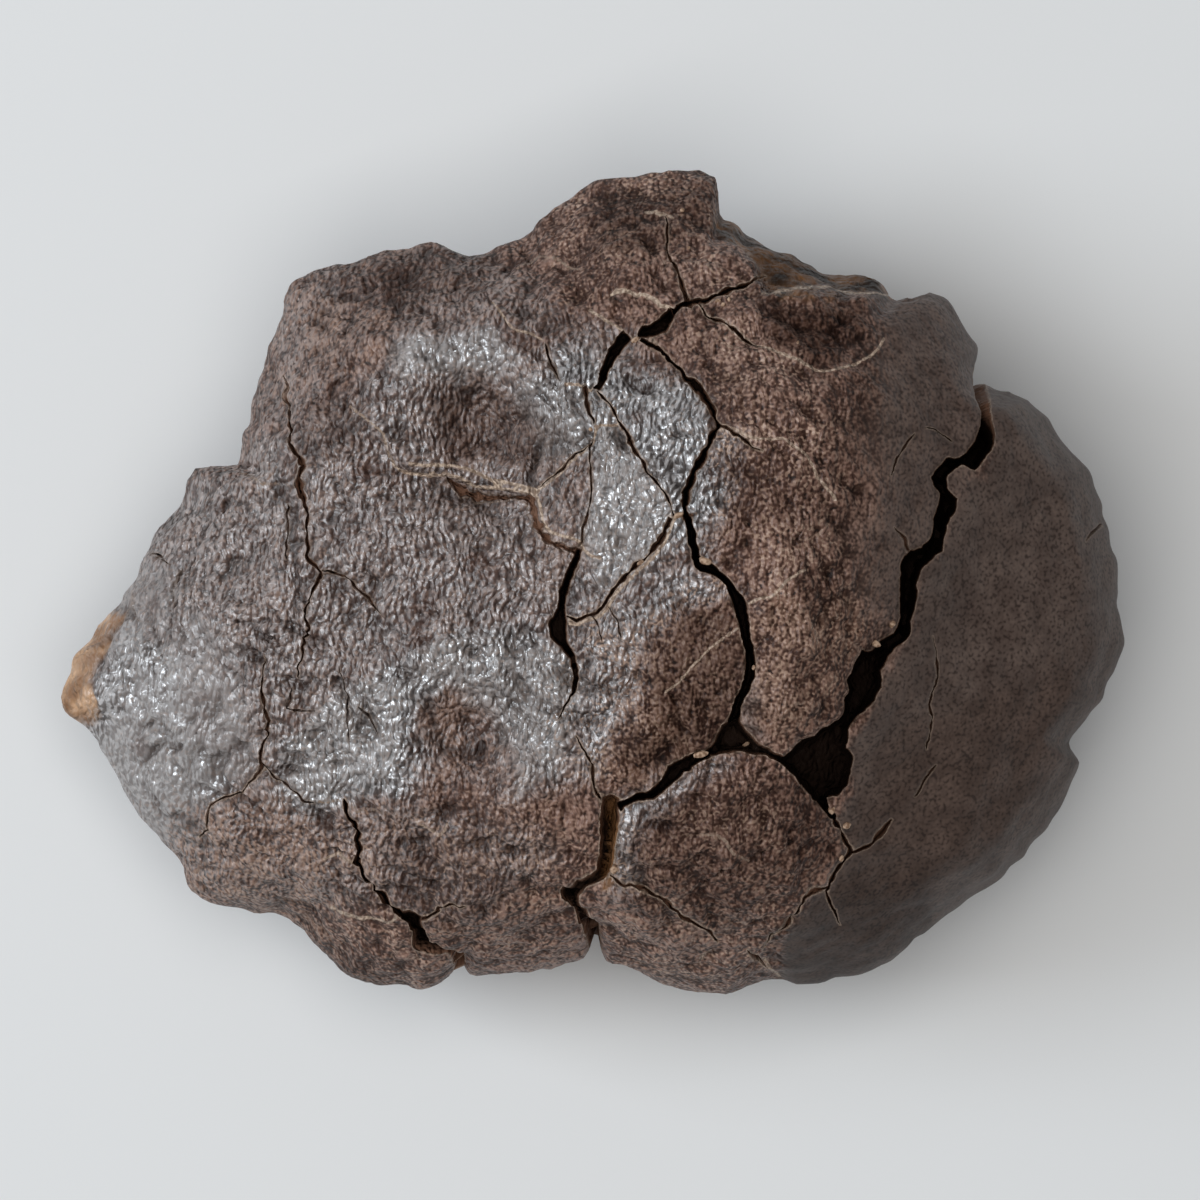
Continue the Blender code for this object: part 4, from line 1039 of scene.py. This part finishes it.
class Painter:
    # short names for the nodes that the paints are made of

    def __init__(self, name):
        self.material = bpy.data.materials.new(name)
        self.material.use_nodes = True
        self.tree = self.material.node_tree
        self.shader = self.tree.nodes["Principled BSDF"]
        self.place = addNode(self.tree, "ShaderNodeTexCoord").outputs["Object"]

    def chips(self, size, place):
        # small chips with sharp creases between them, made uneven by a finer noise
        cells = addNode(self.tree, "ShaderNodeTexVoronoi", dict(feature="F1"), {"Vector": place, "Scale": 1.0 / size})
        uneven = self.grain(0.6 * size, 0.0, 0.5, place).outputs[0]
        return self.number(0.45, self.sum("SUBTRACT", 1.06, cells.outputs["Distance"]), uneven)

    def mask(self, name):
        return addNode(self.tree, "ShaderNodeAttribute", dict(attribute_name=name)).outputs["Fac"]

    def sum(self, kind, a, b=0.0):
        return addNode(self.tree, "ShaderNodeMath", dict(operation=kind), {0: a, 1: b}).outputs[0]

    def step(self, value, low, high, toLow=0.0, toHigh=1.0):
        inputs = {"Value": value, "From Min": low, "From Max": high, "To Min": toLow, "To Max": toHigh}
        return addNode(self.tree, "ShaderNodeMapRange", dict(interpolation_type="SMOOTHSTEP"),
                       inputs).outputs[0]

    def grain(self, size, detail=2.0, rough=0.5, place=None):
        # noise with features of the given size
        inputs = {"Vector": place or self.place, "Scale": 1.0 / size, "Detail": detail,
                  "Roughness": rough}
        return addNode(self.tree, "ShaderNodeTexNoise", None, inputs)

    def blend(self, share, a, b, kind="MIX"):
        made = addNode(self.tree, "ShaderNodeMix", dict(data_type="RGBA", blend_type=kind))
        for place, value in ((0, share), (6, a), (7, b)):
            if isinstance(value, bpy.types.NodeSocket):
                self.tree.links.new(value, made.inputs[place])
            else:
                made.inputs[place].default_value = (*value, 1.0) if place else value
        return made.outputs[2]

    def number(self, share, a, b):
        made = addNode(self.tree, "ShaderNodeMix", dict(data_type="FLOAT"), {0: share, 2: a, 3: b})
        return made.outputs[0]


crustLook = dict(
    # rough brown crust, and its redder patches
    brownDark=(0.058, 0.028, 0.020), brownMiddle=(0.092, 0.046, 0.032), brownLight=(0.240, 0.135, 0.098),
    warmDark=(0.030, 0.011, 0.006), warmLight=(0.235, 0.122, 0.078),
    # grey crust painted lighter as sheen, its palest places with painted highlight, and the dull left end
    sheenDark=(0.045, 0.036, 0.033), sheenLight=(0.400, 0.374, 0.370),
    paleAndHighlightColour=(0.270, 0.235, 0.220), wornColour=(0.215, 0.190, 0.182),
    # smooth slab, grey above and brown below
    slateDark=(0.054, 0.035, 0.028), slateLight=(0.116, 0.083, 0.069),
    slateWarmDark=(0.036, 0.021, 0.015), slateWarmLight=(0.080, 0.049, 0.037),
    # dust with painted light on slopes facing the window, tan specks, sand, and lime with painted highlight on the
    # lips
    dustAndLitSlopeColour=(0.270, 0.165, 0.120), speckColour=(0.400, 0.270, 0.200),
    sandDark=(0.200, 0.120, 0.075), sandLight=(0.430, 0.300, 0.210),
    limeDark=(0.220, 0.155, 0.115), limeColour=(0.500, 0.385, 0.295),
    # crack walls, the near black of crack feet (painted shade), pits and slab dots, and the shade colour that dark
    # zones and low places are multiplied by
    wallColour=(0.150, 0.080, 0.052), nearBlack=(0.020, 0.012, 0.009), darkShade=(0.26, 0.22, 0.20),
    wallToFoot=(1.0, 3.6),         # depths in mm between which a wall darkens to the foot's colour, painted shade deep in the crack
    # rusty ledge and broken tip
    rustDark=(0.028, 0.014, 0.007), rustLight=(0.230, 0.110, 0.045),
    tipDark=(0.230, 0.120, 0.060), tipLight=(0.560, 0.350, 0.210),
    # the fine chips of the crust, and the offset and edge that pick each chip's flank for painted highlight
    chipSize=0.60 * mm, chipHeight=0.68, slabChipHeight=0.05,
    chipStretch=(1.0, 0.60, 0.6), flank=(0.12 * mm, -0.08 * mm, 0.0), flankEdge=(-0.07, 0.06),
    speckleSize=0.34 * mm,
    lowPlaces=(-0.50, -0.14),      # heights in mm between which the crust goes from low to high, and the painted shade of low places fades out
    grainEdge=(0.86, 1.18),        # the wider apart, the softer the light grains in the brown
    # gloss
    reflection=2.3, brownRoughness=0.55, slabRoughness=0.56, sheenRoughness=(0.48, 0.36),
    brownGloss=(0.10, 0.25), slabGloss=0.09, sheenGloss=(0.35, 1.15),
)


def paintCrust():
    look = crustLook
    p = Painter("weathered_crust")
    sheen, paleAndHighlight, slate, warm = (p.mask(n) for n in ("sheen", "paleAndHighlight", "slate", "warm"))
    darkAndShade, rust, tip, speckled = (p.mask(n) for n in ("darkAndShade", "rust", "tip", "speckled"))
    depth, lip, lipLimeAndHighlight = (p.mask(n) for n in ("crackDepth", "lipDistance", "lipLimeAndHighlight"))
    vein, cover = p.mask("veinDistance"), p.mask("veinCover")

    push = addNode(p.tree, "ShaderNodeAttribute", dict(attribute_name="bend")).outputs["Vector"]
    bent = addNode(p.tree, "ShaderNodeVectorMath", dict(operation="ADD"), {0: p.place, 1: push}).outputs[0]
    bent = addNode(p.tree, "ShaderNodeMapping", None, {"Vector": bent, "Scale": look["chipStretch"]}).outputs[0]
    speckle = p.grain(look["speckleSize"], 0.0).outputs[0]
    chip = p.chips(look["chipSize"], bent)
    aside = addNode(p.tree, "ShaderNodeVectorMath", dict(operation="ADD"), {0: bent, 1: look["flank"]}).outputs[0]
    flank = p.sum("SUBTRACT", p.chips(look["chipSize"], aside), chip)
    litFlank = p.step(flank, *look["flankEdge"])       # painted highlight: the flank of each chip on the window's side is painted bright
    rise = p.step(p.mask("rise"), *look["lowPlaces"])
    blotch, broad = p.mask("blotch"), p.mask("broad")

    # brown crust
    patchy = p.step(blotch, 0.36, 0.66)
    mixed = p.number(0.5, chip, speckle)
    drift = p.sum("ADD", p.sum("MULTIPLY", blotch, 0.42), p.sum("MULTIPLY", broad, 0.30))
    # painted light: brown grains lighter on the high places of the relief
    drift = p.sum("ADD", drift, p.sum("MULTIPLY", rise, 0.12))
    # painted highlight: brown grains lighter on the lit flank of each chip
    drift = p.sum("ADD", drift, p.sum("MULTIPLY", p.sum("SUBTRACT", litFlank, 0.5), 0.14))
    grainy = p.step(p.sum("ADD", mixed, drift), *look["grainEdge"])
    tone = p.number(0.72, patchy, grainy)
    brown = p.blend(p.number(0.55, patchy, p.step(mixed, 0.42, 0.50)), look["brownDark"], look["brownMiddle"])
    brown = p.blend(grainy, brown, look["brownLight"])
    warmTone = p.blend(tone, look["warmDark"], look["warmLight"])
    brown = p.blend(p.sum("MULTIPLY", warm, p.step(broad, 0.3, 0.6)), brown, warmTone)

    # grey crust painted lighter as sheen with painted shade in the creases between chips, pale bands with painted
    # highlight, and the dull left end
    grey = p.blend(p.sum("MULTIPLY", p.number(0.82, patchy, litFlank), p.step(chip, 0.36, 0.52, 0.25, 1.0)),
                   look["sheenDark"], look["sheenLight"])
    greyShare = p.sum("MULTIPLY", sheen, p.step(p.sum("ADD", blotch, p.sum("MULTIPLY", broad, 0.6)),
                                                0.50, 0.76, 0.42, 1.0))
    greyShare = p.sum("MULTIPLY", greyShare, p.sum("SUBTRACT", 1.0, p.sum("MULTIPLY", warm, 0.6)))
    greyShare = p.sum("MULTIPLY", greyShare, p.sum("SUBTRACT", 1.0, p.sum("MULTIPLY", darkAndShade, 0.7)))
    colour = p.blend(greyShare, brown, grey)
    # pale crust, partly painted highlight
    colour = p.blend(p.sum("MULTIPLY", paleAndHighlight, p.step(mixed, 0.40, 0.56, 0.2, 0.9)), colour,
                     look["paleAndHighlightColour"])
    worn = p.sum("MULTIPLY", p.mask("worn"), p.step(blotch, 0.30, 0.50, 0.45, 0.85))
    colour = p.blend(worn, colour, look["wornColour"])

    # smooth slab
    streaks = p.sum("ADD", p.sum("MULTIPLY", patchy, 0.45), p.sum("MULTIPLY", p.step(mixed, 0.3, 0.7), 0.45))
    smoothTone = p.blend(streaks, look["slateDark"], look["slateLight"])
    smoothTone = p.blend(p.sum("MULTIPLY", warm, 0.7), smoothTone,
                         p.blend(streaks, look["slateWarmDark"], look["slateWarmLight"]))
    dots = p.sum("MULTIPLY", p.step(speckle, 0.40, 0.34), 0.55)
    smoothTone = p.blend(dots, smoothTone, look["nearBlack"])
    colour = p.blend(slate, colour, smoothTone)

    # dust, and painted light on slopes that face the window
    dustAndLitSlope = p.sum("MULTIPLY", p.mask("dustAndLitSlope"), p.step(p.number(0.4, mixed, blotch), 0.44, 0.56))
    colour = p.blend(p.sum("MULTIPLY", dustAndLitSlope, 0.6), colour, look["dustAndLitSlopeColour"])

    # tan specks where the crust is worn
    often = p.sum("MULTIPLY", p.number(speckled, 0.25, 1.0), p.step(blotch, 0.40, 0.62, 0.25, 1.0))
    often = p.sum("MULTIPLY", often, p.number(slate, 1.0, 0.15))
    specks = p.sum("MULTIPLY", p.step(speckle, 0.56, 0.68), often)
    colour = p.blend(specks, colour, look["speckColour"])

    # dirt and painted shade in the pits between the chips, and painted shade in the low places
    pitDirtAndShade = p.step(mixed, 0.37, 0.30)
    pitDirtAndShade = p.sum("MULTIPLY", pitDirtAndShade, p.sum("SUBTRACT", 0.9, p.sum("MULTIPLY", p.sum("MAXIMUM", slate, sheen), 0.6)))
    colour = p.blend(pitDirtAndShade, colour, look["nearBlack"])

    # painted shade: the low places of the relief darkened, much less on the slab
    low = p.sum("MULTIPLY", p.sum("SUBTRACT", 1.0, rise), p.number(slate, 0.6, 0.1))
    colour = p.blend(low, colour, look["darkShade"], "MULTIPLY")

    # broken tip and rusty ledge
    tipTone = p.blend(p.step(blotch, 0.35, 0.65), look["tipDark"], look["tipLight"])
    colour = p.blend(tip, colour, tipTone)
    rustTone = p.blend(p.step(blotch, 0.38, 0.62), look["rustDark"], look["rustLight"])
    colour = p.blend(rust, colour, rustTone)
    # darker crust, and painted shade where the surface turns away from the window
    colour = p.blend(p.sum("MULTIPLY", darkAndShade, 0.85), colour, look["darkShade"], "MULTIPLY")

    # lime in veins, and lime with painted highlight on the lips of the cracks
    frayed = p.sum("ADD", vein, p.sum("MULTIPLY", p.sum("SUBTRACT", speckle, 0.5), 0.30))
    veinShare = p.sum("MULTIPLY", p.step(frayed, 0.05, -0.04),
                      p.step(p.sum("SUBTRACT", cover, speckle), -0.22, 0.22))
    film = p.sum("ADD", lip, p.sum("MULTIPLY", p.sum("SUBTRACT", speckle, 0.5), 0.35))
    lipShare = p.sum("MULTIPLY", p.step(film, 0.16, 0.02), p.number(lipLimeAndHighlight, 0.25, 0.85))
    limeAndLitLip = p.sum("MAXIMUM", veinShare, lipShare)
    limeTone = p.blend(p.step(speckle, 0.35, 0.65), look["limeDark"], look["limeColour"])
    colour = p.blend(limeAndLitLip, colour, limeTone)

    # grains of sand
    sand = p.mask("sand")
    colour = p.blend(sand, colour, p.blend(p.step(speckle, 0.35, 0.65), look["sandDark"], look["sandLight"]))

    # inside the cracks, the walls darkened with depth as painted shade
    inside = p.step(depth, 0.45, 0.75)
    deep = p.blend(p.step(depth, *look["wallToFoot"]), look["wallColour"], look["nearBlack"])
    deep = p.blend(p.sum("MULTIPLY", rust, 0.8), deep, look["rustLight"])
    colour = p.blend(inside, colour, deep)

    # fine relief and gloss
    height = p.number(slate, look["chipHeight"], look["slabChipHeight"])
    height = p.sum("MULTIPLY", height, p.sum("SUBTRACT", 1.0, p.sum("MULTIPLY", p.mask("worn"), 0.5)))
    height = p.sum("MULTIPLY", chip, height)
    height = p.sum("MULTIPLY", height, p.sum("SUBTRACT", 1.0, p.sum("MULTIPLY", sand, 0.8)))
    bump = addNode(p.tree, "ShaderNodeBump", None, {"Strength": 1.0, "Distance": mm, "Height": height})
    shine = p.sum("MULTIPLY", greyShare, p.sum("SUBTRACT", 1.0, limeAndLitLip))
    shine = p.sum("MULTIPLY", shine, p.sum("SUBTRACT", 1.0, p.sum("MAXIMUM", inside, pitDirtAndShade)))
    roughness = p.number(shine, p.number(slate, look["brownRoughness"], look["slabRoughness"]),
                         p.number(litFlank, *look["sheenRoughness"]))
    gloss = p.number(shine, p.number(slate, p.number(grainy, *look["brownGloss"]), look["slabGloss"]),
                     p.number(litFlank, *look["sheenGloss"]))
    gloss = p.sum("MULTIPLY", gloss, p.sum("SUBTRACT", 1.0, p.sum("MULTIPLY", p.sum("MAXIMUM", darkAndShade, low), 0.7)))
    gloss = p.sum("MULTIPLY", gloss, p.sum("SUBTRACT", 1.0, p.sum("MULTIPLY", inside, 0.8)))
    p.shader.inputs["IOR"].default_value = look["reflection"]
    for name, value in (("Base Color", colour), ("Roughness", roughness), ("Specular IOR Level", gloss),
                        ("Normal", bump.outputs[0])):
        p.tree.links.new(value, p.shader.inputs[name])
    return p.material


crustPaint = paintCrust()
crust.data.materials.append(crustPaint)
print("paint: crust")

# Sand grains stuck in the cracks: place in photo pixels, length and width in pixels, turn in degrees
grains = [
    (704, 561, 16, 9, 160), (700, 753, 18, 8, 10), (745, 743, 9, 5, 30), (717, 303, 7, 5, 0),
    (722, 307, 6, 5, 40), (728, 302, 6, 4, 80), (890, 624, 10, 7, 60), (873, 643, 13, 8, 150),
    (830, 808, 12, 8, 90), (845, 824, 10, 8, 20), (840, 857, 8, 6, 70), (614, 868, 10, 9, 0),
    (640, 563, 9, 5, 35), (635, 342, 11, 6, 35), (678, 516, 12, 7, 20), (796, 345, 5, 3, 70),
    (682, 212, 6, 5, 10), (688, 250, 5, 4, 40), (752, 667, 6, 4, 80), (591, 431, 6, 5, 0),
]

grainBuild = dict(
    halfShare=0.42,       # half axes, as a share of the length and width above
    flatness=0.8,         # height against width
    uneven=0.22,          # how far a grain strays from an egg shape
    sunk=0.2,             # how deep it sits, as a share of its half width
)


def layGrains():
    tree = BVHTree.FromPolygons([v.co for v in crust.data.vertices],
                                [tuple(f.vertices) for f in crust.data.polygons])
    mesh = bpy.data.meshes.new("sand_grains")
    ball = bmesh.new()
    for number, (px, py, length, width, turn) in enumerate(grains):
        x, y = plan(px, py)
        half, wide = (grainBuild["halfShare"] * size * pixel for size in (length, width))
        around = [(float(x) + a * wide, float(y) + b * wide) for a in (-1.3, 0, 1.3) for b in (-1.3, 0, 1.3)]
        found = [tree.ray_cast(Vector((a, b, 0.1)), Vector((0, 0, -1)))[0] for a, b in around]
        top = sorted(spot.z for spot in found if spot)[-3]
        made = bmesh.ops.create_icosphere(ball, subdivisions=3, radius=1.0)["verts"]
        spin = Matrix.Rotation(math.radians(turn), 4, "Z")
        for vert in made:
            push = 1.0 + grainBuild["uneven"] * noise.noise(vert.co * 1.3 + Vector((number * 3.7, 0, 0)))
            axes = Vector((half, wide, wide * grainBuild["flatness"]))
            place = spin @ (vert.co * axes * push)
            vert.co = place + Vector((float(x), float(y), top - grainBuild["sunk"] * wide))
    ball.to_mesh(mesh)
    ball.free()
    mesh.shade_smooth()
    count = len(mesh.vertices)
    for name, value in (("sand", 1.0), ("lipDistance", 5.0), ("veinDistance", 5.0), ("rise", 0.5)):
        mesh.attributes.new(name, "FLOAT", "POINT").data.foreach_set("value", np.full(count, value, np.float32))
    piece = bpy.data.objects.new("sand_grains", mesh)
    bpy.context.scene.collection.objects.link(piece)
    return piece


sandGrains = layGrains()
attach(sandGrains, "root")
sandGrains.data.materials.append(crustPaint)
print("sand:", len(grains), "grains")

# Floor, light and camera
studio = dict(
    floorColour=(0.72, 0.73, 0.735, 1), floorSize=8.0,
    windowSize=0.6, windowPower=8.5, windowPlace=(-1.02, 0.17, 0.82), windowColour=(0.86, 0.93, 1.0),
    topSize=1.6, topPower=26, topPlace=(-0.15, -0.05, 2.0), topColour=(1.0, 0.98, 0.955),
    skyColour=(0.95, 0.975, 1.0, 1), skyStrength=0.19,
    cameraHeight=2.5, frameWidth=0.12,      # the frame is this wide at the rim's mean height
    rimHeight=22 * mm,
)


def setStudio():
    bpy.ops.mesh.primitive_plane_add(size=studio["floorSize"], location=(0, 0, 0))
    floor = bpy.context.object
    floor.name = "floor"
    paint = bpy.data.materials.new("pale_floor")
    paint.use_nodes = True
    shader = paint.node_tree.nodes["Principled BSDF"]
    shader.inputs["Base Color"].default_value = studio["floorColour"]
    shader.inputs["Roughness"].default_value = 0.6
    floor.data.materials.append(paint)

    world = bpy.data.worlds.new("room")
    world.use_nodes = True
    sky = world.node_tree.nodes["Background"]
    sky.inputs["Color"].default_value = studio["skyColour"]
    sky.inputs["Strength"].default_value = studio["skyStrength"]
    bpy.context.scene.world = world

    for name in ("window", "top"):
        light = bpy.data.lights.new(name, "AREA")
        light.size = studio[name + "Size"]
        light.energy = studio[name + "Power"]
        light.color = studio[name + "Colour"]
        lamp = bpy.data.objects.new(name, light)
        lamp.location = studio[name + "Place"]
        lamp.rotation_euler = (-Vector(studio[name + "Place"])).to_track_quat("-Z", "Y").to_euler()
        lamp.visible_camera = False
        lamp.visible_glossy = name == "window"     # only the window mirrors in the crust
        bpy.context.scene.collection.objects.link(lamp)

    lens = bpy.data.cameras.new("camera")
    lens.sensor_width = 36
    lens.lens = 36 * (studio["cameraHeight"] - studio["rimHeight"]) / studio["frameWidth"]
    lens.clip_end = 20
    camera = bpy.data.objects.new("camera", lens)
    x, y = plan(600, 600)
    camera.location = (float(x), float(y), studio["cameraHeight"])
    bpy.context.scene.collection.objects.link(camera)
    bpy.context.scene.camera = camera
    bpy.context.scene.view_settings.view_transform = "Standard"


setStudio()
